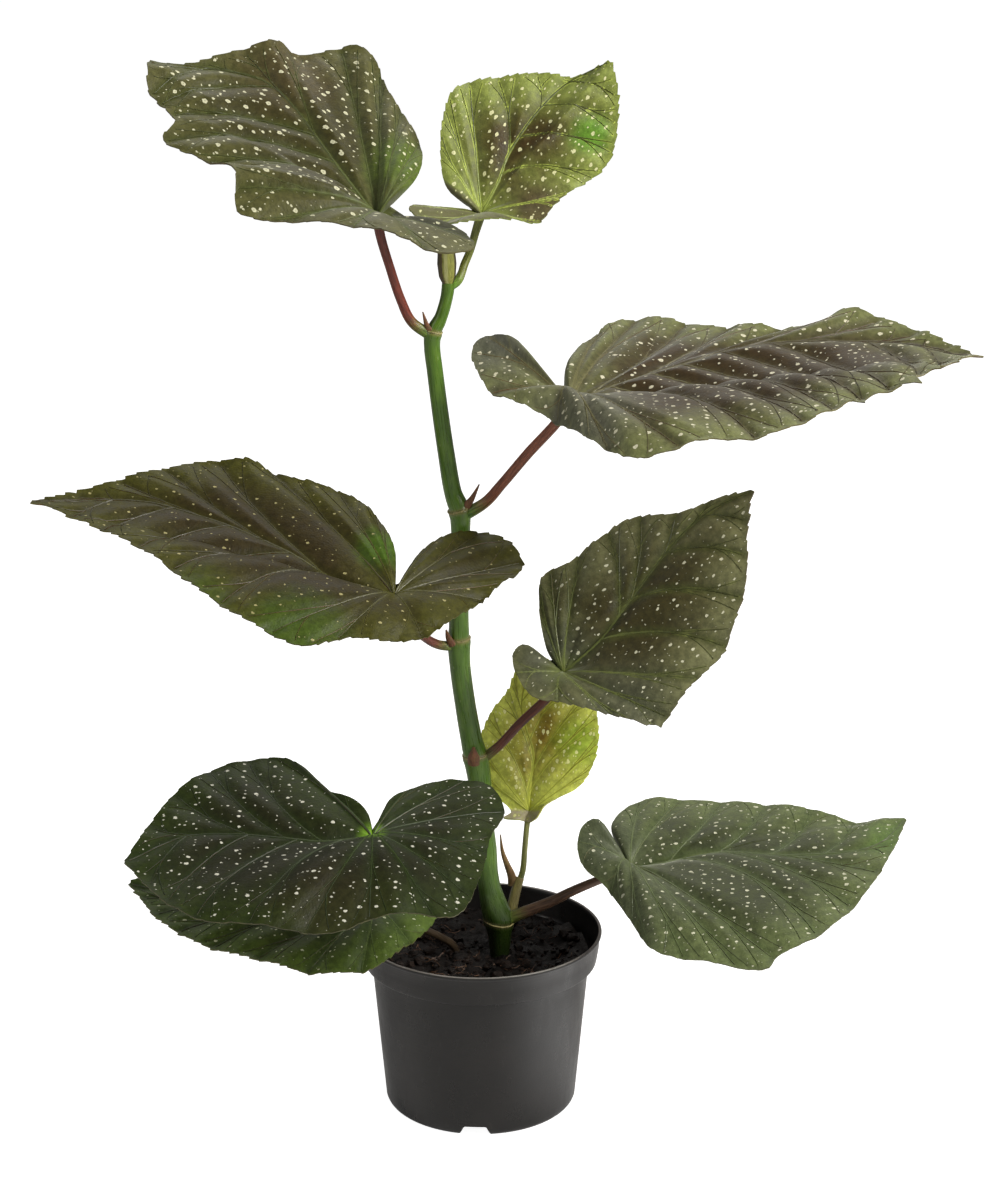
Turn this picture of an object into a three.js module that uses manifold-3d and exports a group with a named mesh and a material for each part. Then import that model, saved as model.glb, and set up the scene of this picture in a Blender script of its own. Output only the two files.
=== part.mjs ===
// Young cane begonia with spotted angel-wing leaves, in a plain nursery pot.
// Millimetres, +Z up, origin at the centre of the pot's underside. The plant faces -Y.
import * as THREE from "three";
import { mergeVertices } from "three/addons/utils/BufferGeometryUtils.js";
import Module from "manifold-3d";

const wasm = await Module();
wasm.setup();

// Driving dimensions of the pot
const RIM_RADIUS = 60;
const POT_HEIGHT = 89.6;
const COLLAR_HEIGHT = 15.5;
const COLLAR_LOWER_RADIUS = 57.5;
const BODY_TOP_RADIUS = 53.8;
const BODY_BASE_RADIUS = 47;
const FOOT_FILLET = 3;
const POT_WALL = 1.5;
const FOOT_CHANNEL_HEIGHT = 3.5;
const FOOT_CHANNEL_INNER = 24;
const FOOT_CHANNEL_OUTER = 40;
const CHANNEL_SLOPE = 1.5;
const LIP_WIDTH = 1.6;
const LIP_EASE = 0.4;
const COLLAR_EASE = 0.6;
const STEP_EASE = 1;
const POT_SIDES = 64;
const NOTCH_COUNT = 3;
const NOTCH_WIDTH = 15.8;
const NOTCH_TAPER = 0.95;
const NOTCH_RISE = 0.24;
const NOTCH_TURN = -3;
const DRAIN_COUNT = 8;
const DRAIN_RADIUS = 4.5;
const DRAIN_SIDES = 16;

// Driving dimensions of the soil and the plant
const SOIL_HEIGHT = 78;
const SOIL_BUMP = 1.6;
const SOIL_EDGE_DROP = 0.6;
const SOIL_RINGS = [46, 36, 25, 14];
const GAP = 0.3;
const BLADE_THICKNESS = 1;
const PLEAT_HEIGHT = 1.8;
const PLEAT_POINTS = 7;
const TOOTH_DIP = 0.3;
const CALM_AT_NOTCH = 8;
const CALM_AT_TIP = 3;
const MARGIN_POINTS = 84;
const RING_COUNTS = [8, 20, 40, 60, MARGIN_POINTS];
const RING_FRACTIONS = [0.12, 0.32, 0.56, 0.79, 1];
const ARCH_PEAK = 0.6;
const STALK_SIDES = 7;
const CANE_SIDES = 12;

// Each leaf: the point where its stalk meets the blade, the blade's heading, pitch and roll in
// degrees, how far its margin teeth stand out, and its outline from the notch between the lobes
// round to the notch again. A row is [along, across, lift, arch]: the margin's place along and
// across the midrib, its height above the plane of the junction, and the swell on the way there.
const LEAVES = {
  top_left: {
    colour: 0x4f4d33,
    junction: [-46, -18, 445],
    angles: [160, 30, -28],
    tooth: 1.2,
    outline: [
      [-1, -8.5, 1, 1], [-1, -29, 5, 7], [7, -46, 4, 8], [21, -56, 4, 8], [40, -67, 3, 6],
      [57, -80, 1, 4], [68, -81, 2, 2], [85, -60, -4, 2], [95, -53, 2, 2], [109, -34, -3, 2],
      [119, -18, -5, 2], [132, -4, -4, 2], [122, 9, -6, 4], [101, 17, -4, 8], [98, 30, -4, 9],
      [76.5, 30.5, -1, 10], [58, 34, 9, 9], [44, 48, 2, 9], [24, 38, 7, 8], [5, 29, 13, 7],
      [-12, 26, 20, 6], [-28, 23, 24, 6], [-43, 19, 25, 5], [-49, 3, 21, 4], [-40, -9, 14, 3],
      [-26, -11, 9, 2], [-11, -6, 3, 1],
    ],
  },
  top_right: {
    colour: 0x6f7c3c,
    junction: [1, 4, 443],
    angles: [30, 50, 55],
    tooth: 1.4,
    outline: [
      [-1, 4, 2, 0], [0.5, 19.3, 6, 4], [10, 29, 6, 4], [27, 39, 4, 3], [42, 42, 2, 2],
      [61, 25, 1, 2], [71, 13, 1, 2], [78, 0, 0, 2], [92, -10, 4, 2], [83, -20, 2, 2],
      [53, -35, 1, 4], [24, -26, 5, 6], [9, -25, 13, 6], [2, -14, 20, 6], [-12, 3, 22, 4],
      [-21, 14, 18, 3], [-19, 27, 16, 2], [-3, 7, 4, 0],
    ],
  },
  right: {
    colour: 0x5a5344,
    junction: [42, -22, 360],
    angles: [2, 8, 14],
    tooth: 1.6,
    outline: [
      [-2, 8, 1, 0], [1, 20, 8, 4], [12, 43, 8, 6], [29, 66, 5, 6], [49, 68, 2, 4],
      [72, 58, -2, 3], [93, 52, -1, 3], [114, 48, -4, 3], [139, 47, 2, 2], [157, 35, -2, 2],
      [176, 14, -5, 1], [190, -5, -4, 0], [168, -20, 1, 1], [147, -34, 1, 2], [130, -39, 0, 3],
      [112, -48, 1, 4], [90, -57, -1, 6], [66, -59, 0, 8], [49, -61, 2, 10], [25, -60, -3, 12],
      [8, -43, 0, 13], [-11, -16, 1, 12], [-27, -4, 7, 9], [-36, 4, 10, 6], [-41, 28, 20, 3],
      [-33, 30, 26, 2], [-21.3, 24.4, 25, 1], [-14, 17.8, 13, 1], [-5.5, 8, 1, 0],
    ],
  },
  left: {
    colour: 0x3f3a24,
    junction: [-39, -50, 276],
    angles: [182, 12, -24],
    tooth: 1.8,
    outline: [
      [0.2, -9.5, -1, 0], [1, -14, 3, 2], [3, -27, 4, 3], [11, -44, 5, 4], [21, -55, 5, 5],
      [37, -62, 4, 5], [63, -69, 1, 4], [77, -73, 3, 3], [99, -69, -1, 3], [121, -56, -2, 2],
      [147, -38, -5, 2], [171, -22, -5, 0], [140, -9, -1, 2], [112, 5, 1, 3], [94, 18, 0, 4],
      [75, 31, 0, 5], [55, 40, 0, 6], [39, 45, -2, 6], [18, 36, 2, 5], [0, 33, 0, 4],
      [-14, 26, 0, 4], [-32, 6, 1, 4], [-48, -18, 3, 4], [-58, -34, 3, 3], [-51, -45, 5, 3],
      [-35, -49, 6, 3], [-14, -36, 5, 3], [-5, -18, 3, 2], [-2, -9.5, 0, 0],
    ],
  },
  middle_right: {
    colour: 0x454531,
    junction: [40, -14, 227],
    angles: [8, 40, 52],
    tooth: 1.2,
    outline: [
      [-0.3, 8, 1, 0], [2, 14.4, 5, 2], [12, 33, 5, 4], [21.7, 42.2, 4, 5], [36, 39, 3, 5], [53, 39, 2, 4],
      [71, 37, 1, 3], [92, 23, 0, 3], [109, 17, -1, 2], [124, 9, 0, 1], [110, -5, 1, 2],
      [94, -24, 0, 2], [76, -37, 1, 3], [63, -44, 1, 5], [43, -46, 2, 7], [20, -51, 4, 8],
      [12, -42, 8, 8], [3, -30, 12, 8], [-8, -15, 14, 7], [-17, -4, 15, 6], [-13, 19, 11, 3],
      [-6, 21, 8, 2], [-1.4, 8, 3, 0],
    ],
  },
  pale: {
    colour: 0x8f9440,
    junction: [24, 22, 143],
    angles: [84, 70, 4],
    tooth: 0.8,
    outline: [
      [-3, 1, 2, 0], [-5, 4, 6, 0], [-3.2, 10.4, 7, 1], [17, 23, 2, 3], [33, 25, 2, 3],
      [47, 21, 2, 3], [60, 12, 1, 2], [70.8, 7.7, 1, 2], [76, -6, 0, 0], [60, -28, 0, 2],
      [34, -33, 1, 3], [11, -19, 3, 2], [4.2, -9.8, 6, 1], [-1, -4.4, 8, 0], [-3, -1, 2, 0],
    ],
  },
  low_left: {
    colour: 0x2f3a24,
    junction: [-50, -62, 162],
    angles: [182, 4, -22],
    tooth: 1,
    outline: [
      [0, -6, 0, 0], [3, -13, 4, 1], [11, -22, 4, 2], [25, -31, 1, 3], [36.5, -42.4, 5, 3],
      [49, -49, 2, 3], [71, -44, 0, 3], [90, -28, -1, 3], [102, -8, -4, 2], [112.9, 18.1, -6, 1],
      [103, 31, -7, 2], [88, 48, -4, 4], [70, 58, -3, 6], [50, 61, 0, 7], [34, 63, -1, 8],
      [14, 62, -1, 8], [-3, 55, 2, 8], [-21, 51, 2, 8], [-39, 48, -2, 7], [-51, 21, 0, 6],
      [-55, -1, 1, 5], [-62, -22, 0, 4], [-55, -37, 1, 3], [-39, -41, 1, 3], [-22, -35, 2, 3],
      [-9, -24, 4, 2], [-3, -10, 2, 1],
    ],
  },
  bottom_left: {
    colour: 0x34451f,
    junction: [-50, -30, 111],
    angles: [186, 0, -20],
    tooth: 1.4,
    outline: [
      [-1, -7, -2, 0], [2, -12, 3, 2], [10, -23, 4, 4], [30, -34, 4, 4], [57, -38, 2, 3],
      [84, -38, 2, 3], [103, -36, -1, 2], [118, -32, -4, 1], [114, -24, -5, 2], [104, -3, -3, 3],
      [85, 15, -2, 5], [61, 28, 0, 6], [38, 39, 0, 7], [19, 41, 0, 7], [3, 38, -1, 7],
      [-11, 27, 1, 5], [-26, 11, 0, 4], [-30, -3, 0, 3], [-25, -13, 2, 3], [-15, -14, 3, 2],
      [-5, -7, 0, 0],
    ],
  },
  low_right: {
    colour: 0x56654a,
    junction: [73, -14, 127],
    angles: [-4, 8, 20],
    tooth: 0.8,
    outline: [
      [-3, 6.8, 1, 0], [-7.9, 24.4, 6, 4], [-1, 39, 5, 6], [11, 47, 3, 6], [31, 46, 0, 5],
      [61, 40, -1, 4], [89, 31, -2, 4], [111, 22, -5, 3], [135, 18, -3, 1], [128, -3, -1, 2],
      [117, -26, 0, 4], [98, -51, 0, 6], [79, -68, 1, 8], [63, -76, -1, 8], [41, -73, 0, 10],
      [22, -67, 1, 12], [10, -60, 0, 12], [0, -40, 2, 11], [-12, -16, 5, 10], [-21, -6, 8, 8],
      [-24, 5, 14, 5], [-20, 15, 18, 3], [-13, 16, 19, 2], [-5, 8, 4, 0],
    ],
  },
};

// Cane and stalks: each row is [x, y, z, radius]. The cane's nodes are swollen. A stalk ends at
// its blade's junction, and its first row lies inside whatever it grows from.
const CANE = [
  [9.5, 0, 64, 4.2], [9.5, 0, 78, 5], [9.5, 0, 86, 5.8], [9, 0, 94, 7.6], [7, 0, 101, 6.8],
  [4.8, 0, 110, 5.6], [3.4, 0, 119, 5.4], [2.2, 0, 132, 5.9], [1, 0, 145, 5.6], [0, 0, 165, 5.6],
  [-2, 0, 179, 6.2], [-4, 0, 188, 5.3], [-7, 0, 206, 5], [-9.5, 0, 226, 5], [-10, 0, 237, 5.5],
  [-10, 0, 246, 4.8], [-10, 0, 270, 4.6], [-9, 0, 292, 4.5], [-9.5, 0, 303, 5.1],
  [-12.5, 0, 312, 4.2], [-15.6, 0, 331, 4], [-18.2, 0, 350, 3.9], [-20.6, 0, 370, 3.8],
  [-21.9, 0, 382, 3.8], [-21.4, 0, 388, 4], [-17.6, 0, 396, 3], [-15, 0, 405, 2.9],
  [-14, 0, 412, 3.1],
];
const STALKS = {
  top_left: [[-22, 0, 387, 2.8], [-31, -3, 394, 2.4], [-36, -6, 405, 2.2], [-41, -11, 422, 2.1],
    [-44.4, -15, 435, 2.2], [-46, -18, 445, 2.4]],
  top_right: [[-14, 0.5, 410, 2.5], [-10, 1, 412.5, 2.2], [-8, 3, 416, 1.9], [-7, 5, 419, 1.9],
    [-4, 7, 426, 1.8], [-1.7, 7, 434, 1.9], [1, 4, 443, 2.2]],
  right: [[-9, 0, 300, 3.2], [2.6, -2, 307.5, 2.6], [10.6, -6, 317.5, 2.4], [23, -12, 334, 2.4],
    [36, -18, 350, 2.4], [42, -22, 360, 2.6]],
  left: [[-10, 0, 236, 2.6], [-19, -5, 238, 2.3], [-27, -16, 246, 2.1], [-35, -34, 260, 2.1],
    [-39, -50, 276, 2.4]],
  middle_right: [[-2, 0, 176, 3], [4, -1, 181, 2.4], [10, -3, 187, 2.2], [19, -5, 198, 2.2],
    [33, -10, 214, 2.3], [40, -14, 227, 2.5]],
  pale: [[19, 11, 109, 1.6], [21, 13, 115, 1.5], [22, 17, 125, 1.4], [23, 21, 135, 1.4],
    [24, 22, 143, 1.6]],
  low_left: [[3, 0, 128, 3], [-9, -12, 131, 2.4], [-24, -30, 138, 2.2], [-42, -52, 152, 2.3],
    [-50, -62, 162, 2.6]],
  bottom_left: [[-11, 2, 68, 2], [-13, 1, 79, 2], [-19, -6, 87, 1.9], [-28, -14, 95, 1.9],
    [-42, -24, 103, 2], [-50, -30, 111, 2.3]],
  low_right: [[9, 0, 93, 3.6], [18, -1, 97, 3.1], [34, -5, 105.5, 2.6], [46, -9, 113.5, 2.3],
    [60, -12, 121, 2.1], [73, -14, 127, 2.6]],
};
const SIDE_SHOOT = [
  [12.5, 4, 89, 2.7], [15.4, 6, 97, 2.7], [17.4, 9, 105, 2.5], [19.6, 11, 112, 2.1],
];
const BRACT = [
  [16, 11, 108, 2.4], [15.4, 11, 113, 2.2], [13, 10.5, 119, 1.6], [10.6, 10, 126, 1],
  [9.4, 9, 135, 0.3],
];
const BUD = [
  [-14.2, -1, 411, 2.2], [-14.6, -1, 415, 3.9], [-14.8, -1, 421, 4.5], [-15, -1, 426, 4.1],
  [-15.4, -1, 430, 2.2],
];
const STIPULES = {
  stipule_low: [[-3, -5, 178, 3], [-3, -6.5, 182, 2.8], [-3, -6.8, 187, 0.6]],
  stipule_middle: [[-13, -4, 238, 2.2], [-15, -5.5, 242, 1.4], [-16, -6, 246, 0.4]],
  stipule_high: [[-7, -2, 305, 2.4], [-4, -3, 309, 1.5], [0, -4, 317, 0.3]],
  stipule_top: [[-22, -1.5, 388, 2], [-24, -3, 392, 1.4], [-26, -3, 399, 0.3]],
};
const CANE_COLOUR = 0x3f7a25;
const STALK_COLOURS = {
  top_left: 0x6b3a2a,
  top_right: 0x6d7a38,
  right: 0x6e4335,
  left: 0x6e4a35,
  middle_right: 0x54302a,
  pale: 0x6f7440,
  low_left: 0x5a4030,
  bottom_left: 0x6e5a45,
  low_right: 0x634838,
};

const plant = new THREE.Group();
const rad = THREE.MathUtils.degToRad;

// One even random value from 0 to 1 for a whole number
function noise(seed) {
  const stirred = (seed * 7919 + 104729) % 9973;
  return (stirred * 31) % 997 / 997;
}

// A closed geometry from its corner positions and triangles
function shell(positions, triangles) {
  const geometry = new THREE.BufferGeometry();
  geometry.setAttribute("position", new THREE.Float32BufferAttribute(positions, 3));
  geometry.setIndex(triangles);
  return geometry;
}

// A solid for cutting, from a closed geometry
function solid(geometry) {
  const bare = geometry.clone();
  bare.deleteAttribute("normal");
  bare.deleteAttribute("uv");
  const merged = mergeVertices(bare);
  const mesh = new wasm.Mesh({
    numProp: 3,
    vertProperties: new Float32Array(merged.attributes.position.array),
    triVerts: new Uint32Array(merged.index.array),
  });
  return new wasm.Manifold(mesh);
}

// The geometry of a solid's largest piece
function largest(body) {
  const pieces = body.decompose();
  const main = pieces.reduce((a, b) => (b.volume() > a.volume() ? b : a));
  const mesh = main.getMesh();
  return shell(Array.from(mesh.vertProperties), Array.from(mesh.triVerts));
}

function addPiece(name, geometry, colour, roughness, metalness = 0) {
  const flat = geometry.toNonIndexed();
  flat.computeVertexNormals();
  const material = new THREE.MeshStandardMaterial({ color: colour, roughness, metalness });
  const mesh = new THREE.Mesh(flat, material);
  mesh.name = name;
  plant.add(mesh);
}

// A round stalk along rows of [x, y, z, radius], closed at both ends. extra widens it all over.
function stalk(rows, sides, extra = 0, steps = 2) {
  const path = new THREE.CatmullRomCurve3(rows.map((r) => new THREE.Vector3(r[0], r[1], r[2])));
  const count = (rows.length - 1) * steps;
  const positions = [];
  const triangles = [];
  let side = new THREE.Vector3(0, 1, 0);
  for (let i = 0; i <= count; i++) {
    const t = i / count;
    const centre = path.getPoint(t);
    const ahead = path.getTangent(t);
    side = side.clone().addScaledVector(ahead, -side.dot(ahead)).normalize();
    const across = new THREE.Vector3().crossVectors(ahead, side);
    const row = Math.min(Math.floor(i / steps), rows.length - 2);
    const part = i / steps - row;
    const radius = rows[row][3] * (1 - part) + rows[row + 1][3] * part + extra;
    for (let k = 0; k < sides; k++) {
      const a = (2 * Math.PI * k) / sides;
      const p = centre.clone();
      p.addScaledVector(side, Math.cos(a) * radius).addScaledVector(across, Math.sin(a) * radius);
      positions.push(p.x, p.y, p.z);
    }
  }
  for (let i = 0; i < count; i++) {
    for (let k = 0; k < sides; k++) {
      const a = i * sides + k;
      const b = i * sides + ((k + 1) % sides);
      triangles.push(a, b, b + sides, a, b + sides, a + sides);
    }
  }
  for (let k = 1; k < sides - 1; k++) {
    const last = count * sides;
    triangles.push(0, k + 1, k, last, last + k, last + k + 1);
  }
  return shell(positions, triangles);
}

// Triangles between two closed rings of different counts, both going round the same way
function bridge(inner, innerCount, outer, outerCount) {
  const triangles = [];
  let i = 0;
  let o = 0;
  while (i < innerCount || o < outerCount) {
    const outerNext = (o + 1) / outerCount <= (i + 1) / innerCount && o < outerCount;
    const a = inner + (i % innerCount);
    const b = outer + (o % outerCount);
    if (outerNext || i >= innerCount) {
      triangles.push([a, b, outer + ((o + 1) % outerCount)]);
      o++;
    } else {
      triangles.push([a, b, inner + ((i + 1) % innerCount)]);
      i++;
    }
  }
  return triangles;
}

// The blade's own axes: along the midrib, across it, and out of its upper face
function bladeAxes([heading, pitch, roll]) {
  const h = rad(heading);
  const p = rad(pitch);
  const r = rad(roll);
  const along = new THREE.Vector3(Math.cos(p) * Math.cos(h), Math.cos(p) * Math.sin(h), Math.sin(p));
  const up = new THREE.Vector3(-Math.sin(p) * Math.cos(h), -Math.sin(p) * Math.sin(h), Math.cos(p));
  const level = new THREE.Vector3().crossVectors(up, along);
  const across = level.clone().multiplyScalar(Math.cos(r)).addScaledVector(up, Math.sin(r));
  const out = level.multiplyScalar(-Math.sin(r)).addScaledVector(up, Math.cos(r));
  return { along, across, out };
}

// Even points round the margin, each [along, across, lift, arch], with one at the very tip
function marginPoints(leaf) {
  const rows = leaf.outline;
  const reach = rows.map((r) => Math.hypot(r[0], r[1]));
  const tip = reach.indexOf(Math.max(...reach));
  const halves = [rows.slice(0, tip + 1), rows.slice(tip)];
  const curves = halves.map((half) => ({
    place: new THREE.CatmullRomCurve3(half.map((r) => new THREE.Vector3(r[0], r[1], r[2]))),
    arch: new THREE.CatmullRomCurve3(half.map((r) => new THREE.Vector3(r[0], r[1], r[3]))),
  }));
  const lengths = curves.map((c) => c.place.getLength());
  const first = Math.round((MARGIN_POINTS - 1) * lengths[0] / (lengths[0] + lengths[1]));
  const points = [];
  for (let k = 0; k < MARGIN_POINTS; k++) {
    const half = k < first ? 0 : 1;
    const t = half === 0 ? k / first : (k - first) / (MARGIN_POINTS - 1 - first);
    const u = curves[half].place.getUtoTmapping(t);
    const place = curves[half].place.getPoint(u);
    const arch = curves[half].arch.getPoint(u).z;
    points.push([place.x, place.y, place.z, arch]);
  }
  return points.map(([x, y, lift, arch], k) => {
    const fromNotch = Math.min(k, MARGIN_POINTS - 1 - k) / CALM_AT_NOTCH;
    const fromTip = Math.abs(k - first) / CALM_AT_TIP;
    const calm = Math.min(1, fromNotch, fromTip);
    const tooth = k % 2 ? leaf.tooth : -TOOTH_DIP * leaf.tooth;
    const grow = 1 + tooth * calm / Math.hypot(x, y);
    const pleat = PLEAT_HEIGHT * calm * Math.sin((2 * Math.PI * k) / PLEAT_POINTS);
    return [x * grow, y * grow, lift + pleat, arch];
  });
}

// A blade with its lobes, teeth and pleats. extra thickens both faces.
function blade(leaf, extra = 0) {
  const { along, across, out } = bladeAxes(leaf.angles);
  const margin = marginPoints(leaf);
  const junction = new THREE.Vector3(...leaf.junction);
  const middle = [junction];
  const starts = [];
  RING_COUNTS.forEach((count, ring) => {
    starts.push(middle.length);
    const reach = RING_FRACTIONS[ring];
    const hump = 4 * reach ** ARCH_PEAK * (1 - reach ** ARCH_PEAK);
    for (let k = 0; k < count; k++) {
      const m = (k * MARGIN_POINTS) / count;
      const a = margin[Math.floor(m)];
      const b = margin[Math.ceil(m) % MARGIN_POINTS];
      const s = m - Math.floor(m);
      const [x, y, lift, arch] = a.map((value, i) => value * (1 - s) + b[i] * s);
      const p = junction.clone().addScaledVector(along, x * reach).addScaledVector(across, y * reach);
      middle.push(p.addScaledVector(out, lift * reach + arch * hump));
    }
  });
  const faces = [];
  for (let k = 0; k < RING_COUNTS[0]; k++) {
    faces.push([0, starts[0] + k, starts[0] + ((k + 1) % RING_COUNTS[0])]);
  }
  for (let ring = 1; ring < RING_COUNTS.length; ring++) {
    faces.push(...bridge(starts[ring - 1], RING_COUNTS[ring - 1], starts[ring], RING_COUNTS[ring]));
  }
  const signed = leaf.outline.reduce((sum, r, i, all) => {
    const next = all[(i + 1) % all.length];
    return sum + r[0] * next[1] - r[1] * next[0];
  }, 0);
  const turned = signed > 0;
  const half = BLADE_THICKNESS / 2 + extra;
  const positions = [];
  for (const side of [half, -half]) {
    for (const p of middle) {
      positions.push(p.x + out.x * side, p.y + out.y * side, p.z + out.z * side);
    }
  }
  const triangles = [];
  const lower = middle.length;
  for (const [a, b, c] of faces) {
    if (turned) triangles.push(a, b, c, lower + a, lower + c, lower + b);
    else triangles.push(a, c, b, lower + a, lower + b, lower + c);
  }
  const edge = starts[starts.length - 1];
  for (let k = 0; k < MARGIN_POINTS; k++) {
    const a = edge + k;
    const b = edge + ((k + 1) % MARGIN_POINTS);
    if (turned) triangles.push(a, lower + a, lower + b, a, lower + b, b);
    else triangles.push(a, lower + b, lower + a, a, b, lower + b);
  }
  return shell(positions, triangles);
}

// The pot's wall at a height: its outer radius below the collar
const bodyRadius = (z) => BODY_BASE_RADIUS
  + (BODY_TOP_RADIUS - BODY_BASE_RADIUS) * z / (POT_HEIGHT - COLLAR_HEIGHT);

// The room of a notch under the foot: narrower upwards, its roof rising towards the outside
function footNotch() {
  const notch = new THREE.BoxGeometry(2 * (BODY_BASE_RADIUS - FOOT_CHANNEL_OUTER), 2, 2);
  notch.translate((BODY_BASE_RADIUS + FOOT_CHANNEL_OUTER) / 2, 0, 0);
  const corners = notch.attributes.position;
  for (let k = 0; k < corners.count; k++) {
    const x = corners.getX(k);
    const roof = FOOT_CHANNEL_HEIGHT + NOTCH_RISE * (x - FOOT_CHANNEL_OUTER);
    const z = corners.getZ(k) > 0 ? roof : -FOOT_FILLET;
    corners.setXYZ(k, x, (corners.getY(k) * (NOTCH_WIDTH - NOTCH_TAPER * z)) / 2, z);
  }
  return notch;
}

// Pot: one turned wall with a collar, a rounded foot, notches and drain holes
function pot() {
  const collar = POT_HEIGHT - COLLAR_HEIGHT;
  const floor = FOOT_CHANNEL_HEIGHT + POT_WALL;
  const foot = BODY_BASE_RADIUS - FOOT_FILLET;
  const rounding = Math.SQRT1_2 * FOOT_FILLET;
  const profile = [
    [0, 0],
    [FOOT_CHANNEL_INNER - CHANNEL_SLOPE, 0],
    [FOOT_CHANNEL_INNER, FOOT_CHANNEL_HEIGHT],
    [FOOT_CHANNEL_OUTER, FOOT_CHANNEL_HEIGHT],
    [FOOT_CHANNEL_OUTER + CHANNEL_SLOPE, 0],
    [foot, 0],
    [foot + rounding, FOOT_FILLET - rounding],
    [bodyRadius(FOOT_FILLET), FOOT_FILLET],
    [BODY_TOP_RADIUS, collar - STEP_EASE],
    [COLLAR_LOWER_RADIUS - COLLAR_EASE, collar],
    [COLLAR_LOWER_RADIUS, collar + COLLAR_EASE],
    [RIM_RADIUS - LIP_EASE, POT_HEIGHT - LIP_WIDTH],
    [RIM_RADIUS, POT_HEIGHT - LIP_WIDTH / 2],
    [RIM_RADIUS - LIP_EASE, POT_HEIGHT],
    [RIM_RADIUS - LIP_WIDTH, POT_HEIGHT],
    [COLLAR_LOWER_RADIUS - POT_WALL, collar + POT_WALL],
    [BODY_TOP_RADIUS - POT_WALL, collar - STEP_EASE],
    [bodyRadius(floor + FOOT_FILLET) - POT_WALL, floor + FOOT_FILLET],
    [bodyRadius(floor) - POT_WALL - FOOT_FILLET, floor],
    [0, floor],
  ];
  const wall = new THREE.LatheGeometry(profile.map(([r, z]) => new THREE.Vector2(r, z)), POT_SIDES);
  wall.rotateX(Math.PI / 2);
  let body = solid(wall);
  for (let i = 0; i < NOTCH_COUNT; i++) {
    const angle = rad(NOTCH_TURN) - Math.PI / 2 + (2 * Math.PI * i) / NOTCH_COUNT;
    body = body.subtract(solid(footNotch().rotateZ(angle)));
  }
  const ring = (FOOT_CHANNEL_INNER + FOOT_CHANNEL_OUTER) / 2;
  for (let i = 0; i < DRAIN_COUNT; i++) {
    const angle = (2 * Math.PI * i) / DRAIN_COUNT;
    const size = [DRAIN_RADIUS, DRAIN_RADIUS, 3 * POT_WALL];
    const drain = new THREE.CylinderGeometry(...size, DRAIN_SIDES);
    drain.rotateX(Math.PI / 2);
    drain.translate(ring * Math.cos(angle), ring * Math.sin(angle), floor - POT_WALL / 2);
    body = body.subtract(solid(drain));
  }
  return largest(body);
}

// Soil: fills the pot, with an uneven top and plain holes for what stands in it
function soil(holes) {
  const floor = FOOT_CHANNEL_HEIGHT + POT_WALL + GAP;
  const wall = (z) => bodyRadius(z) - POT_WALL - GAP;
  const waist = POT_HEIGHT - COLLAR_HEIGHT - STEP_EASE;
  const edge = COLLAR_LOWER_RADIUS - POT_WALL - GAP - COLLAR_EASE;
  const rows = [
    [0, floor],
    [wall(floor) - FOOT_FILLET - GAP, floor],
    [wall(floor + FOOT_FILLET), floor + FOOT_FILLET],
    [wall(waist), waist],
    [edge, SOIL_HEIGHT - SOIL_EDGE_DROP],
    ...SOIL_RINGS.map((radius) => [radius, SOIL_HEIGHT]),
    [0, SOIL_HEIGHT],
  ];
  const sides = POT_SIDES / 2;
  const geometry = new THREE.LatheGeometry(rows.map(([r, z]) => new THREE.Vector2(r, z)), sides);
  geometry.rotateX(Math.PI / 2);
  geometry.deleteAttribute("normal");
  geometry.deleteAttribute("uv");
  const body = mergeVertices(geometry);
  const place = body.attributes.position;
  for (let i = 0; i < place.count; i++) {
    if (place.getZ(i) > SOIL_HEIGHT - SOIL_EDGE_DROP / 2) {
      place.setZ(i, SOIL_HEIGHT + SOIL_BUMP * (noise(i) - 0.5));
    }
  }
  return largest(holes.reduce((rest, hole) => rest.subtract(solid(hole)), solid(body)));
}

addPiece("pot", pot(), 0x3a3936, 0.45);
addPiece("soil", soil([stalk(CANE, CANE_SIDES, GAP), stalk(STALKS.bottom_left, STALK_SIDES, GAP)]),
  0x1d1712, 0.95);
addPiece("cane", stalk(CANE, CANE_SIDES), CANE_COLOUR, 0.45);

const caneRoom = solid(stalk(CANE, CANE_SIDES, GAP));
const lowStalkRoom = solid(stalk(STALKS.low_right, STALK_SIDES, GAP));
const shootRoom = solid(stalk(SIDE_SHOOT, STALK_SIDES, GAP));
const shoot = solid(stalk(SIDE_SHOOT, STALK_SIDES)).subtract(caneRoom).subtract(lowStalkRoom);
addPiece("side_shoot", largest(shoot), 0x6b6a3a, 0.5);

for (const [name, leaf] of Object.entries(LEAVES)) {
  const stem = solid(stalk(STALKS[name], STALK_SIDES)).subtract(solid(blade(leaf, GAP)));
  const grown = stem.subtract(caneRoom);
  const free = name === "pale" ? grown.subtract(shootRoom) : grown;
  addPiece(`petiole_${name}`, largest(free), STALK_COLOURS[name], 0.5);
  addPiece(`blade_${name}`, blade(leaf), leaf.colour, 0.5);
}

for (const [name, rows] of Object.entries(STIPULES)) {
  let scale = solid(stalk(rows, STALK_SIDES)).subtract(caneRoom);
  for (const stem of Object.values(STALKS)) {
    scale = scale.subtract(solid(stalk(stem, STALK_SIDES, GAP)));
  }
  addPiece(name, largest(scale), 0x6f3b28, 0.55);
}

const paleStalkRoom = solid(stalk(STALKS.pale, STALK_SIDES, GAP));
const bract = solid(stalk(BRACT, STALK_SIDES)).subtract(shootRoom).subtract(paleStalkRoom);
addPiece("bract", largest(bract), 0x7a5138, 0.55);

const topStalkRoom = solid(stalk(STALKS.top_right, STALK_SIDES, GAP));
const bud = solid(stalk(BUD, STALK_SIDES)).subtract(caneRoom).subtract(topStalkRoom);
addPiece("bud", largest(bud), 0x8a8f45, 0.5);

export default plant;
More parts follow.
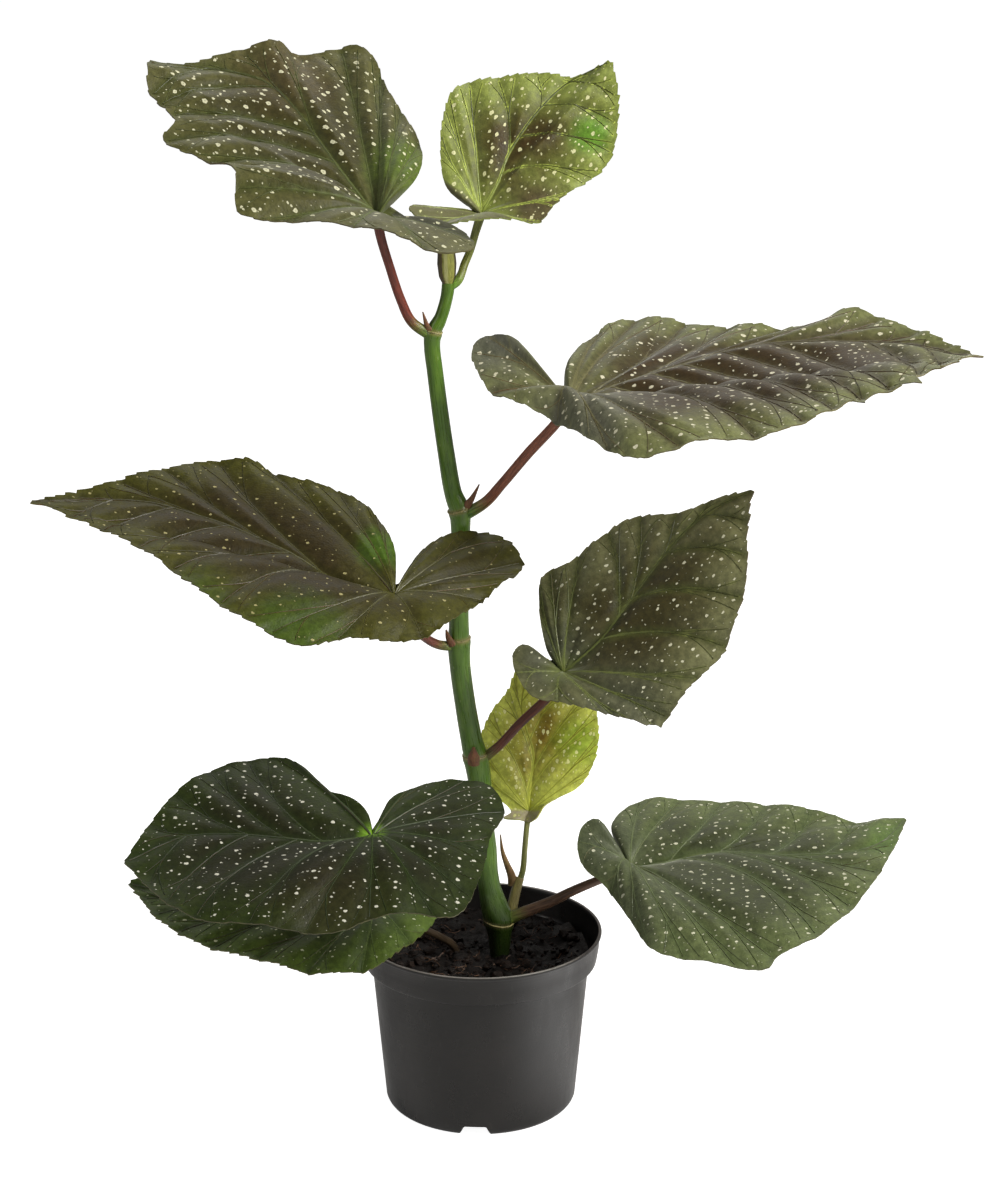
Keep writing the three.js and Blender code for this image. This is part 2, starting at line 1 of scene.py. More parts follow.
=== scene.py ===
# Young cane begonia with spotted angel-wing leaves, in a plain nursery pot: the finished looks.
# Rows of numbers are millimetres, in the frame of the solids; meshes are metres.
import math
import random
from contextlib import contextmanager

import bpy
import numpy as np
from mathutils import Matrix, Vector, noise
from mathutils.bvhtree import BVHTree
from mathutils.kdtree import KDTree


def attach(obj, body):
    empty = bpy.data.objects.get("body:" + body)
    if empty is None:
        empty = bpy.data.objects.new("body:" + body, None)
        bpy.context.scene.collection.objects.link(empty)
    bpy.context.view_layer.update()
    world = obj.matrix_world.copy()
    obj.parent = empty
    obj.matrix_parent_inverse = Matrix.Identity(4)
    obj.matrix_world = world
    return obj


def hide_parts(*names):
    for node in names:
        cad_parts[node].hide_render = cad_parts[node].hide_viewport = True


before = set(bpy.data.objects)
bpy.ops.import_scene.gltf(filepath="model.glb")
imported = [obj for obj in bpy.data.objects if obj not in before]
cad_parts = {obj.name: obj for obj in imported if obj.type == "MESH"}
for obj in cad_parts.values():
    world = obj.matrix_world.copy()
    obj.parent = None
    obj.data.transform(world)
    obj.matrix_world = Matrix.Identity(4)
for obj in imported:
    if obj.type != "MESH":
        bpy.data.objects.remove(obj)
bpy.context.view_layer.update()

MM = 0.001
BODY = "root"
# Points nearer than this, in metres, are one
MERGE_GAP = 1e-6

# Pot
RIM_RADIUS = 60
POT_HEIGHT = 89.6
COLLAR_HEIGHT = 15.5
COLLAR_LOWER_RADIUS = 57.5
BODY_TOP_RADIUS = 53.8
BODY_BASE_RADIUS = 47
POT_WALL = 1.5
POT_SIDES = 160
FOOT_CHANNEL_HEIGHT = 3.5
FOOT_CHANNEL_INNER = 24
FOOT_CHANNEL_OUTER = 40
FOOT_ROUNDING = 3
# The foot's rounding, from its flat to its side: [radius, height]
FOOT_EDGE = [[43.6, 0], [44.6, 0.15], [45.5, 0.5], [46.2, 1.1], [46.8, 1.9]]
NOTCH_COUNT = 3
NOTCH_WIDTH = 15.8
NOTCH_TAPER = 0.95
NOTCH_RISE = 0.24
NOTCH_TURN = -3
NOTCH_REACH = 7
NOTCH_ROUNDING = 0.7
DRAIN_COUNT = 8
DRAIN_RADIUS = 4.5
DRAIN_SIDES = 32

# Soil, with a gap to the wall's own surface: lumps, small grains and a bank towards the wall
SOIL_HEIGHT = 78
SOIL_GAP = 0.3
SOIL_FOOT_INSET = 4.4
SOIL_EDGE_DROP = 1.2
SOIL_SIDES = 150
SOIL_RINGS = 56
SOIL_EDGE = 52
SOIL_SEED = 3.7
LUMP_HEIGHT = 3.4
LUMP_PITCH = 0.09
GRAIN_HEIGHT = 0.9
GRAIN_PITCH = 0.34
BANK_HEIGHT = 1.5
BANK_START = 0.72
BANK_WIDTH = 0.28
# Crumbs of each size: how fine the ball is, their number, least and greatest radius
CRUMBS = [[2, 70, 1.6, 3.4], [1, 330, 0.5, 1.5]]
CRUMB_REACH = 51
CRUMB_ROUGHNESS = 0.55
CRUMB_PITCH = 1.3
CRUMB_FLATNESS = 0.75
CRUMB_SINK = (0.1, 0.5)
# Fibres: their number and reach, the steps of each with their length and turn in radians, its
# radius and how it thins with each step, and how high it lies
FIBRE_COUNT = 110
FIBRE_REACH = 49
FIBRE_STEPS = 6
FIBRE_STEP = (0.9, 2.2)
FIBRE_TURN = 0.6
FIBRE_RADII = (0.1, 0.32)
FIBRE_THINNING = 0.12
FIBRE_LIFT = 0.4
FIBRE_RISE = (-0.2, 0.9)

# Blades
BLADE_THICKNESS = 0.7
ARCH_PEAK = 0.6
RING_SPACING = 2.6
LARGE_BLADE = 150
# A height over every part of a blade, to look down on it from
SOUNDING_HEIGHT = 90
# A tooth's columns on each side of the tip: how far along it they lie and how far they stand
# out, as shares; the teeth lean towards the tip
TEETH = [
    [[0, 0], [0.3, 0.35], [0.62, 0.7], [0.9, 1]],
    [[0, 0], [0.1, 1], [0.4, 0.7], [0.7, 0.35]],
]
# By what share of its length a tooth may shift, its sizes, and how far from the notch the
# teeth grow; the part of the margin beside a thorn stands out by a share of it
TOOTH_SHIFT = 0.22
TOOTH_SIZES = (0.35, 1.25)
TEETH_GROW = 60
THORN_FOOT = 0.25
# Veins: how far they stand out below, how near they come to the margin and how much they bend;
# how far round the margin a fork may end beside its vein; the forks of every other vein, as
# [share of the way, side]; the ends' radii of rib, veins and forks
VEIN_STAND = 0.28
VEIN_REACH = 0.975
VEIN_BEND = 0.6
RIB_STEP, VEIN_STEP = 1.5, 1.6
FORK_SPREAD = (0.014, 0.024)
FORKS = [[[0.5, -1], [0.72, 1]], [[0.45, 1], [0.68, -1]]]
RIB_TIP, VEIN_TIP = 0.3, 0.18
FORK_RADII = (0.24, 0.12)
# The swelling between the veins, the crease at a fork, and the distance from the stalk over
# which the swelling grows
SWELL_WIDTH = 10.5
SWELL_HEIGHT = 1.35
SWELL_SINK = 0.45
CREASE_WIDTH = 2.2
CREASE_DEPTH = 0.3
SWELL_START = 22
# Waves of the margin and of the whole blade: pitch and height; near the notch the swelling is
# calmed towards the margin, by a share and over a distance
FRILL = (0.11, 0.7)
RIPPLE = (0.035, 1.6)
RIPPLE_SEED = 7.3
CALM = (0.85, 45)
# The numbers of a blade's finishes after its upper face's, and the distances its finishes use
UNDERSIDE, RIM, VEIN_ABOVE, VEIN_BELOW = 1, 2, 3, 4
GAPS = ("vein_gap", "fork_gap", "edge_gap")

# Studio
ROOM_LIGHT = 0.12
PAPER_LIGHT = 0.15
PAPER_WHITE = 0.96
PAPER_SIZE = 80
PAPER_SHADES = (0.52, 0.54)
# A painted pool of light: the paper glows brighter at the pot's right, in metres, which the pot's
# side mirrors
POOL_PLACE = (0.14, -0.06, 0)
POOL_START = 0.02
POOL_RADIUS = 0.13
POOL_LIGHT = 1.15
# Softboxes, in metres: place, the point that each faces, size, and power in watts
SOFTBOXES = {
    "key_softbox": [(1.5, -0.9, 1.4), (0, 0, 0.28), (0.8, 1.2), 52],
    "side_softbox": [(-1.6, -0.8, 1.1), (0, 0, 0.25), (0.9, 1.2), 7],
    "back_softbox": [(0.1, 1.2, 1.9), (0, 0, 0.3), (1.6, 0.9), 12],
}
SOFTBOX_COLOUR = (1, 0.965, 0.905)
# The camera, fitted to the pot's rim and foot: its place in metres, degrees below level, and the
# lens and the frame's width in millimetres
CAMERA_PLACE = (0.0097, -1.2817, 0.6399)
CAMERA_FALL = 16.41
CAMERA_LENS = 85
CAMERA_FRAME = 36

# Each leaf as in the solids: the stalk's meeting point, the blade's heading, pitch and roll in
# degrees, and the outline's rows [along, across, lift, arch] from notch to notch. The midrib's
# rows are [along, across]; a vein's are [start along the midrib, end round the margin], 0 to 1.
LEAVES = {
    "top_left": {
        "junction": [-46, -18, 445],
        "angles": [160, 30, -28],
        "tooth": [8, 0.6, 1.1],
        "folds": 2.4,
        "outline": [
            [-1, -8.5, 1, 1], [-1, -29, 5, 7], [7, -46, 4, 8], [21, -56, 4, 8], [40, -67, 3, 6],
            [57, -80, 1, 4], [68, -81, 2, 2], [85, -60, -4, 2], [95, -53, 2, 2], [109, -34, -3, 2],
            [119, -18, -5, 2], [132, -4, -4, 2], [122, 9, -6, 4], [101, 17, -4, 8],
            [98, 30, -4, 9], [76.5, 30.5, -1, 10], [58, 34, 9, 9], [44, 48, 2, 9], [24, 38, 7, 8],
            [5, 29, 13, 7], [-12, 26, 20, 6], [-28, 23, 24, 6], [-43, 19, 25, 5], [-49, 3, 21, 4],
            [-40, -9, 14, 3], [-26, -11, 9, 2], [-11, -6, 3, 1],
        ],
        "midrib": [[0, 0], [24, -9], [47, -19], [65, -27], [88, -32], [105, -26], [120, -16],
                   [131, -5]],
        "veins": [
            [0, 0.05], [0, 0.09], [0, 0.135], [0, 0.19], [0, 0.245], [0.36, 0.3], [0.5, 0.345],
            [0.64, 0.385], [0.78, 0.42], [0.82, 0.475], [0.6, 0.49], [0.36, 0.51], [0.24, 0.55],
            [0.1, 0.6], [0, 0.65], [0, 0.71], [0, 0.78], [0, 0.85], [0, 0.93],
        ],
    },
    "top_right": {
        "junction": [1, 4, 443],
        "angles": [30, 50, 55],
        "tooth": [4.8, 0.8, 1.2],
        "folds": 1.8,
        "outline": [
            [-1, 4, 2, 0], [0.5, 19.3, 6, 4], [10, 29, 6, 4], [27, 39, 4, 3], [42, 42, 2, 2],
            [61, 25, 1, 2], [71, 13, 1, 2], [78, 0, 0, 2], [92, -10, 4, 2], [83, -20, 2, 2],
            [53, -35, 1, 4], [24, -26, 5, 6], [9, -25, 13, 6], [2, -14, 20, 6], [-12, 3, 22, 4],
            [-21, 14, 18, 3], [-19, 27, 16, 2], [-3, 7, 4, 0],
        ],
        "midrib": [[0, 0], [18, 2], [30, 5], [56, 5], [75, 1], [91, -9]],
        "veins": [
            [0, 0.11], [0, 0.165], [0, 0.223], [0.33, 0.267], [0.6, 0.325], [0.78, 0.38],
            [0.8, 0.475], [0.62, 0.515], [0.42, 0.56], [0.22, 0.61], [0, 0.67], [0, 0.74],
            [0, 0.81], [0, 0.88], [0, 0.94],
        ],
    },
    "right": {
        "junction": [42, -22, 360],
        "angles": [2, 8, 14],
        "tooth": [6.4, 0.8, 1.8],
        "thorns": [[187, -4], [177, -18], [167, -26], [156, -38], [129, -44]],
        "folds": 2.6,
        "outline": [
            [-2, 8, 1, 0], [1, 20, 8, 4], [12, 43, 8, 6], [29, 66, 5, 6], [49, 68, 2, 4],
            [72, 58, -2, 3], [93, 52, -1, 3], [114, 48, -4, 3], [139, 47, 2, 2], [157, 35, -2, 2],
            [176, 14, -5, 1], [190, -5, -4, 0], [168, -20, 1, 1], [147, -34, 1, 2],
            [130, -39, 0, 3], [112, -48, 1, 4], [90, -57, -1, 6], [66, -59, 0, 8],
            [49, -61, 2, 10], [25, -60, -3, 12], [8, -43, 0, 13], [-11, -16, 1, 12],
            [-27, -4, 7, 9], [-36, 4, 10, 6], [-41, 28, 20, 3], [-33, 30, 26, 2],
            [-21.3, 24.4, 25, 1], [-14, 17.8, 13, 1], [-5.5, 8, 1, 0],
        ],
        "midrib": [[0, 0], [32, 12], [60, 20], [74, 25], [101, 29], [133, 26], [155, 22],
                   [171, 9], [190, -4]],
        "veins": [
            [0, 0.09], [0, 0.13], [0.05, 0.17], [0.17, 0.208], [0.31, 0.25], [0.44, 0.29],
            [0.56, 0.33], [0.68, 0.365], [0.8, 0.4], [0.86, 0.465], [0.72, 0.49], [0.5, 0.52],
            [0.38, 0.545], [0.28, 0.572], [0.2, 0.6], [0.1, 0.64], [0, 0.7], [0, 0.76], [0, 0.82],
            [0, 0.88], [0, 0.94],
        ],
    },
    "left": {
        "junction": [-39, -50, 276],
        "angles": [182, 12, -24],
        "tooth": [6, 1.1, 1.8],
        "folds": 1.8,
        "outline": [
            [0.2, -9.5, -1, 0], [1, -14, 3, 2], [3, -27, 4, 3], [11, -44, 5, 4], [21, -55, 5, 5],
            [37, -62, 4, 5], [63, -69, 1, 4], [77, -73, 3, 3], [99, -69, -1, 3], [121, -56, -2, 2],
            [147, -38, -5, 2], [171, -22, -5, 0], [140, -9, -1, 2], [112, 5, 1, 3], [94, 18, 0, 4],
            [75, 31, 0, 5], [55, 40, 0, 6], [39, 45, -2, 6], [18, 36, 2, 5], [0, 33, 0, 4],
            [-14, 26, 0, 4], [-32, 6, 1, 4], [-48, -18, 3, 4], [-58, -34, 3, 3], [-51, -45, 5, 3],
            [-35, -49, 6, 3], [-14, -36, 5, 3], [-5, -18, 3, 2], [-2, -9.5, 0, 0],
        ],
        "midrib": [[0, 0], [22, -2], [35, -7], [49, -15], [68, -23], [89, -30], [126, -36],
                   [169, -23]],
        "veins": [
            [0, 0.07], [0, 0.11], [0, 0.17], [0.2, 0.215], [0.38, 0.26], [0.55, 0.3], [0.72, 0.34],
            [0.8, 0.405], [0.64, 0.435], [0.48, 0.47], [0.3, 0.505], [0.2, 0.557], [0, 0.605],
            [0, 0.66], [0, 0.73], [0, 0.8], [0, 0.86], [0, 0.905], [0, 0.96],
        ],
    },
    "middle_right": {
        "junction": [40, -14, 227],
        "angles": [8, 40, 52],
        "tooth": [6, 0.7, 1.2],
        "folds": 2,
        "thorns": [[20, -53.5]],
        "outline": [
            [-0.3, 8, 1, 0], [2, 14.4, 5, 2], [12, 33, 5, 4], [21.7, 42.2, 4, 5], [36, 39, 3, 5],
            [53, 39, 2, 4], [71, 37, 1, 3], [92, 23, 0, 3], [109, 17, -1, 2], [124, 9, 0, 1],
            [110, -5, 1, 2], [94, -24, 0, 2], [76, -37, 1, 3], [63, -44, 1, 5], [43, -46, 2, 7],
            [20, -51, 4, 8], [12, -42, 8, 8], [3, -30, 12, 8], [-8, -15, 14, 7], [-17, -4, 15, 6],
            [-13, 19, 11, 3], [-6, 21, 8, 2], [-1.4, 8, 3, 0],
        ],
        "midrib": [[0, 0], [23, 0], [43, 5], [71, 12], [91, 15], [106, 14], [123, 9]],
        "veins": [
            [0, 0.08], [0, 0.12], [0, 0.16], [0.3, 0.21], [0.38, 0.255], [0.58, 0.3],
            [0.74, 0.345], [0.8, 0.43], [0.6, 0.475], [0.38, 0.53], [0.19, 0.595], [0, 0.65],
            [0, 0.71], [0, 0.78], [0, 0.85], [0, 0.92],
        ],
    },
    "pale": {
        "junction": [24, 22, 143],
        "angles": [84, 70, 4],
        "tooth": [5, 0.7, 0.9],
        "folds": 1.2,
        "outline": [
            [-5, 2, 3, 0], [-4.4, 4.1, 6, 0], [-3.7, 12.2, 7, 0], [-0.5, 8.6, 2, 1],
            [9.8, 19.1, 2, 2], [20, 24, 2, 3], [33, 25, 2, 3], [47, 21, 2, 3], [60, 12, 1, 2],
            [70.8, 7.7, 1, 2], [76, -6, 0, 0], [60, -28, 0, 2], [34, -33, 1, 3], [15, -26, 1, 2],
            [7, -13.7, 2, 1], [3.4, -8, 5, 0], [-3, -4.2, 8, 0], [-5.6, -0.6, 5, 0],
        ],
        "midrib": [[0, 0], [8, 1], [21, -1], [30, -1], [48, 5], [62, 4], [75, -5]],
        "veins": [
            [0, 0.17], [0, 0.23], [0.1, 0.31], [0.3, 0.37], [0.5, 0.42], [0.7, 0.46], [0.7, 0.55],
            [0.45, 0.59], [0.25, 0.635], [0.1, 0.69], [0, 0.75], [0, 0.81],
        ],
    },
    "low_left": {
        "junction": [-50, -62, 162],
        "angles": [182, 4, -22],
        "tooth": [7, 0.5, 0.8],
        "folds": 1.2,
        "outline": [
            [0, -6, 0, 0], [3, -13, 4, 1], [11, -22, 4, 2], [25, -31, 1, 3], [36.5, -42.4, 5, 3],
            [49, -49, 2, 3], [71, -44, 0, 3], [90, -28, -1, 3], [102, -8, -4, 2],
            [112.9, 18.1, -6, 1], [103, 31, -7, 2], [88, 48, -4, 4], [70, 58, -3, 6],
            [50, 61, 0, 7], [34, 63, -1, 8], [14, 62, -1, 8], [-3, 55, 2, 8], [-21, 51, 2, 8],
            [-39, 48, -2, 7], [-51, 21, 0, 6], [-55, -1, 1, 5], [-62, -22, 0, 4], [-55, -37, 1, 3],
            [-39, -41, 1, 3], [-22, -35, 2, 3], [-9, -24, 4, 2], [-3, -10, 2, 1],
        ],
        "midrib": [[0, 0], [22, 4], [38, 3], [62, 1], [86, 2], [111, 17]],
        "veins": [
            [0, 0.065], [0, 0.11], [0.2, 0.16], [0.35, 0.2], [0.5, 0.245], [0.72, 0.29],
            [0.75, 0.37], [0.5, 0.4], [0.3, 0.435], [0.12, 0.487], [0, 0.54], [0, 0.6], [0, 0.66],
            [0, 0.71], [0, 0.77], [0, 0.83], [0, 0.89], [0, 0.95],
        ],
    },
    "bottom_left": {
        "junction": [-50, -30, 111],
        "angles": [186, 0, -20],
        "tooth": [5, 1.2, 1.5],
        "folds": 1.8,
        "outline": [
            [-1, -7, -2, 0], [2, -12, 3, 2], [10, -23, 4, 4], [30, -34, 4, 4], [57, -38, 2, 3],
            [84, -38, 2, 3], [103, -36, -1, 2], [118, -32, -4, 1], [114, -24, -5, 2],
            [104, -3, -3, 3], [85, 15, -2, 5], [61, 28, 0, 6], [38, 39, 0, 7], [19, 41, 0, 7],
            [3, 38, -1, 7], [-11, 27, 1, 5], [-26, 11, 0, 4], [-30, -3, 0, 3], [-25, -13, 2, 3],
            [-15, -14, 3, 2], [-5, -7, 0, 0],
        ],
        "midrib": [[0, 0], [30, -5], [60, -12], [94, -22], [117, -31]],
        "veins": [
            [0, 0.09], [0.1, 0.15], [0.3, 0.21], [0.5, 0.26], [0.7, 0.31], [0.75, 0.39],
            [0.55, 0.43], [0.35, 0.48], [0.15, 0.535], [0, 0.6], [0, 0.67], [0, 0.74], [0, 0.82],
            [0, 0.92],
        ],
    },
    "low_right": {
        "junction": [73, -14, 127],
        "angles": [-4, 8, 20],
        "tooth": [8, 0.35, 0.6],
        "folds": 1.5,
        "outline": [
            [-3, 6.8, 1, 0], [-7.9, 24.4, 6, 4], [-1, 39, 5, 6], [11, 47, 3, 6], [31, 46, 0, 5],
            [61, 40, -1, 4], [89, 31, -2, 4], [111, 22, -5, 3], [135, 18, -3, 1], [128, -3, -1, 2],
            [117, -26, 0, 4], [98, -51, 0, 6], [79, -68, 1, 8], [66, -73.5, 0, 8],
            [62.7, -79, -1, 8], [41, -73, 0, 10], [22, -67, 1, 12], [10, -60, 0, 12],
            [0, -40, 2, 11], [-12, -16, 5, 10], [-21, -6, 8, 8], [-24, 5, 14, 5], [-20, 15, 18, 3],
            [-13, 16, 19, 2], [-5, 8, 4, 0],
        ],
        "midrib": [[0, 0], [15, 0], [30, 4], [44, 5], [75, -3], [107, -4], [123, 2], [134, 17]],
        "veins": [
            [0, 0.095], [0, 0.14], [0.12, 0.185], [0.3, 0.235], [0.48, 0.285], [0.66, 0.335],
            [0.7, 0.43], [0.5, 0.475], [0.33, 0.53], [0.18, 0.585], [0, 0.64], [0, 0.685],
            [0, 0.74], [0, 0.8], [0, 0.87], [0, 0.94],
        ],
    },
}

# Colours of each leaf: middle, margin, beside the veins, vein line, spots; then the spots' pitch
# and widest size, and the shades of the underside and of the rim line
TINTS = {
    "top_left": ["3f3c18", "5b5b33", "454b20", "7d8c4f", "ecebc8", 4.9, 2.0, "6b3c30", "66603a"],
    "top_right": ["3e2d11", "8b984b", "49511b", "c9dc66", "ecebb8", 4.3, 1.75, "8a6a48", "8a9648"],
    "right": ["3b2e18", "73784b", "443d24", "908f5d", "eae6ca", 4.7, 1.65, "70443a", "6f6a40"],
    "left": ["30280a", "454511", "323009", "626228", "b4ac78", 6.4, 1.2, "66382c", "625f30"],
    "middle_right": ["3a3619", "727450", "444a22", "93a154", "dcdcc0", 5.0, 1.4, "6a3d34", "5f5030"],
    "pale": ["725716", "cbd561", "848925", "d1da5a", "e6e8a4", 3.2, 1.7, "a87f68", "a8ac50"],
    "low_left": ["1d2006", "28340a", "1d2a06", "455821", "e6e6d6", 5.0, 1.45, "5c3430", "5c5a34"],
    "bottom_left": ["2c381d", "4f6425", "31411b", "779047", "d8e0b8", 4.6, 1.3, "5c3830", "6c6c3a"],
    "low_right": ["3d4428", "647046", "4e5c34", "7a855c", "dedfc4", 4.5, 1.45, "664038", "62683e"],
}

# Parts of a blade that curl over and show another face, and on top_left painted shade for the
# dark inner face of a lobe: its shade, and how far it reaches along and across the midrib
CURLED_AND_SHADED = {
    # Painted shade: the dark inner face of the near lobe, which lies in shadow
    "top_left": ["383a2a", -5, -3],
    "top_right": ["6e6a50", 2, 99],
    "pale": ["b5a99c", 0.5, 99],
}
# How downy each darker or younger leaf looks from the side; the others look as downy as DOWN
SMOOTHER = {"left": 0.07, "low_left": 0.04, "bottom_left": 0.08, "pale": 0.08}
DOWN = 0.3
# A bright patch where the stalk meets the blade: its shade, share and radius
HEARTS = {"low_left": ["7fae28", 0.95, 9]}
# Greener, browner and greyer patches of a blade: the place of each, its radius, shade and share;
# the greyer ones on right and low_right are a painted sheen
PATCHES_AND_PAINTED_SHEEN = {
    "top_left": [[6, -30, 26, "5a761e", 0.6], [82, -44, 36, "54452e", 0.5]],
    "top_right": [[58, -21, 14, "5a9c22", 0.6], [16, -21, 24, "51442f", 0.9]],
    # Both patches here are greyer: painted sheen
    "right": [[-30, 40, 50, "62645a", 0.85], [2, -30, 42, "66675b", 0.7]],
    "left": [[42, 40, 32, "43661a", 0.5], [8, -24, 18, "466e14", 0.6], [90, 28, 26, "3f5c16", 0.4]],
    "middle_right": [[0, 6, 28, "3b4031", 0.75], [14, -36, 34, "42463a", 0.6]],
    "pale": [[35, -24, 18, "84a824", 0.65]],
    "low_left": [[17, 54, 40, "372f1c", 0.4]],
    # The two greyer patches are painted sheen; the third is greener
    "low_right": [[-12, 8, 32, "474c40", 0.65], [8, -34, 36, "535946", 0.5],
                  [128, 2, 24, "5a8426", 0.35]],
}
# How brightly the veins of the young blades stand out; the others have VEIN_SHARE
BRIGHT_VEINS = {"top_right": 0.85, "pale": 0.55}
VEIN_SHARE = 0.3
# How strongly the skin beside the veins is shaded, on those young blades and on the others
BESIDE_SHARES = (0.3, 0.7)
# Shades of every blade's underside: its edge, its net and its veins
UNDERSIDE_TINTS = ["6f6a3c", "a9705a", "9a5a48"]

# Cane and stalks: each row is [x, y, z, radius]; a stalk is flat under its blade near the end
STALK_FLAT_REACH = 12
CANE = [
    [9.5, 0, 64, 4.2], [9.5, 0, 78, 5], [9.5, 0, 86, 5.8], [9, 0, 94, 7.6], [7, 0, 101, 6.8],
    [4.8, 0, 110, 5.6], [3.4, 0, 119, 5.4], [2.2, 0, 132, 5.9], [1, 0, 145, 5.6], [0, 0, 165, 5.6],
    [-2, 0, 179, 6.2], [-4, 0, 188, 5.3], [-7, 0, 206, 5], [-9.5, 0, 226, 5], [-10, 0, 237, 5.5],
    [-10, 0, 246, 4.8], [-10, 0, 270, 4.6], [-9, 0, 292, 4.5], [-9.5, 0, 303, 5.1],
    [-12.5, 0, 312, 4.2], [-15.6, 0, 331, 4], [-18.2, 0, 350, 3.9], [-20.6, 0, 370, 3.8],
    [-21.9, 0, 382, 3.8], [-21.4, 0, 388, 4], [-17.6, 0, 396, 3], [-15, 0, 405, 2.9],
    [-14, 0, 412, 3.1],
]
STALKS = {
    "top_left": [
        [-22, 0, 387, 2.8], [-31, -3, 394, 2.4], [-36, -6, 405, 2.2], [-41, -11, 422, 2.1],
        [-44.4, -15, 435, 2.2], [-46, -18, 445, 2.4],
    ],
    "top_right": [
        [-14, 0.5, 410, 2.5], [-10, 1, 412.5, 2.2], [-8, 3, 416, 1.9], [-7, 5, 419, 1.9],
        [-4, 7, 426, 1.8], [-1.7, 7, 434, 1.9], [1, 4, 443, 2.2],
    ],
    "right": [
        [-9, 0, 300, 3.2], [2.6, -2, 307.5, 2.6], [10.6, -6, 317.5, 2.4], [23, -12, 334, 2.4],
        [36, -18, 350, 2.4], [42, -22, 360, 2.6],
    ],
    "left": [
        [-10, 0, 236, 2.6], [-19, -5, 238, 2.3], [-27, -16, 246, 2.1], [-35, -34, 260, 2.1],
        [-39, -50, 276, 2.4],
    ],
    "middle_right": [
        [-2, 0, 176, 3], [4, -1, 181, 2.4], [10, -3, 187, 2.2], [19, -5, 198, 2.2],
        [33, -10, 214, 2.3], [40, -14, 227, 2.5],
    ],
    "pale": [
        [19, 11, 109, 1.6], [21, 13, 115, 1.5], [22, 17, 125, 1.4], [23, 21, 135, 1.4],
        [24, 22, 143, 1.6],
    ],
    "low_left": [
        [3, 0, 128, 3], [-9, -12, 131, 2.4], [-24, -30, 138, 2.2], [-42, -52, 152, 2.3],
        [-50, -62, 162, 2.6],
    ],
    "bottom_left": [
        [-11, 2, 68, 2], [-13, 1, 79, 2], [-19, -6, 87, 1.9], [-28, -14, 95, 1.9],
        [-42, -24, 103, 2], [-50, -30, 111, 2.3],
    ],
    "low_right": [
        [9, 0, 93, 3.6], [18, -1, 97, 3.1], [34, -5, 105.5, 2.6], [46, -9, 113.5, 2.3],
        [60, -12, 121, 2.1], [73, -14, 127, 2.6],
    ],
}
# Shades of each stalk: where it leaves the cane, and along its length
STALK_TINTS = {
    "top_left": ["5c7a2c", "6e3428"],
    "top_right": ["5f8a30", "76803a"],
    "right": ["4f7a2a", "84503a"],
    "left": ["5c7a34", "74443a"],
    "middle_right": ["5a7030", "5c2e1e"],
    "pale": ["6d7a3c", "757a44"],
    "low_left": ["5a6a30", "5a3c30"],
    "bottom_left": ["241d14", "332a1e"],
    "low_right": ["5f7a2c", "5f4a3a"],
}
STALK_END_TINT = "b09a6c"
# Shades of the cane: two greens, paler clouds, flecks and scars; last a painted shade for its dark
# foot
CANE_TINTS_AND_FOOT_SHADE = ["3c560a", "527a1a", "74962e", "a9b878", "7d7a45", "10180a"]
# Shades of the growing tip: two olives, a painted shade for one side, a painted highlight streak,
# and the dark edges
TIP_TINTS_AND_PAINTED_LIGHT = ["777a30", "a3a552", "5c5230", "c8c890", "3c3420"]
# Shades of the pot: two of its plastic, dusty scuffs, and a painted highlight along the lip
PLASTIC_TINTS_AND_HIGHLIGHT = ["151413", "1d1b1a", "4c4a46", "a5a29c"]
# Shades of the soil and of its crumbs, with how dull the wet ones are; the grit; the fibres
SOIL_TINTS = ["070403", "120b07", 0.3]
CRUMB_TINTS = ["0c0705", "20150e", 0.26]
GRIT_TINT = "33241a"
FIBRE_TINTS = ["2b1c12", "6b4c33"]
# Shades of the side shoot; of the scars, the bract and the stipules, with a greener one's share
SHOOT_TINTS = ["5f6a34", "8a8450"]
SCAR_TINTS = ["7a6c40", "b3a473", "5c7a34", 0.4]
BRACT_TINTS = ["6e4a30", "a87e58", "6f7a3c", 0.45]
STIPULE_TINTS = ["4e2418", "7e4632", "6a7a38", 0.3]
SIDE_SHOOT = [
    [12.5, 4, 89, 2.7], [15.4, 6, 97, 2.7], [17.4, 9, 105, 2.5], [19.6, 11, 112, 2.1],
]
BRACT = [
    [16, 11, 108, 2.4], [15.4, 11, 113, 2.2], [13, 10.5, 119, 1.6], [10.6, 10, 126, 1],
    [9.4, 9, 135, 0.3],
]
BUD = [
    [-14.2, -1, 411, 2.2], [-14.6, -1, 415, 3.9], [-14.8, -1, 421, 4.5], [-15, -1, 426, 4.1],
    [-15.4, -1, 430, 2.2],
]
STIPULES = {
    "stipule_low": [[-3, -5, 178, 3], [-3, -6.5, 182, 2.8], [-3, -6.8, 187, 0.6]],
    "stipule_middle": [[-13, -4, 238, 2.2], [-15, -5.5, 242, 1.4], [-16, -6, 246, 0.4]],
    "stipule_high": [[-7, -2, 305, 2.4], [-4, -3, 309, 1.5], [0, -4, 317, 0.3]],
    "stipule_top": [[-22, -1.5, 388, 2], [-24, -3, 392, 1.4], [-26, -3, 399, 0.3]],
}
# The cane's shape at a node, from its scar: the swelling's and the waist's height, place and
# width, how far they reach, and the width of the scarred skin
NODE_SWELL = (0.35, -1.6, 1.6)
NODE_WAIST = (-0.25, 1.2, 0.9)
NODE_REACH = 6
SCAR_WIDTH = 1.6
# The ring of a scar: its radius, steps and unevenness
SCAR_RADIUS = 0.42
SCAR_STEPS = 40
SCAR_WOBBLE = 0.25
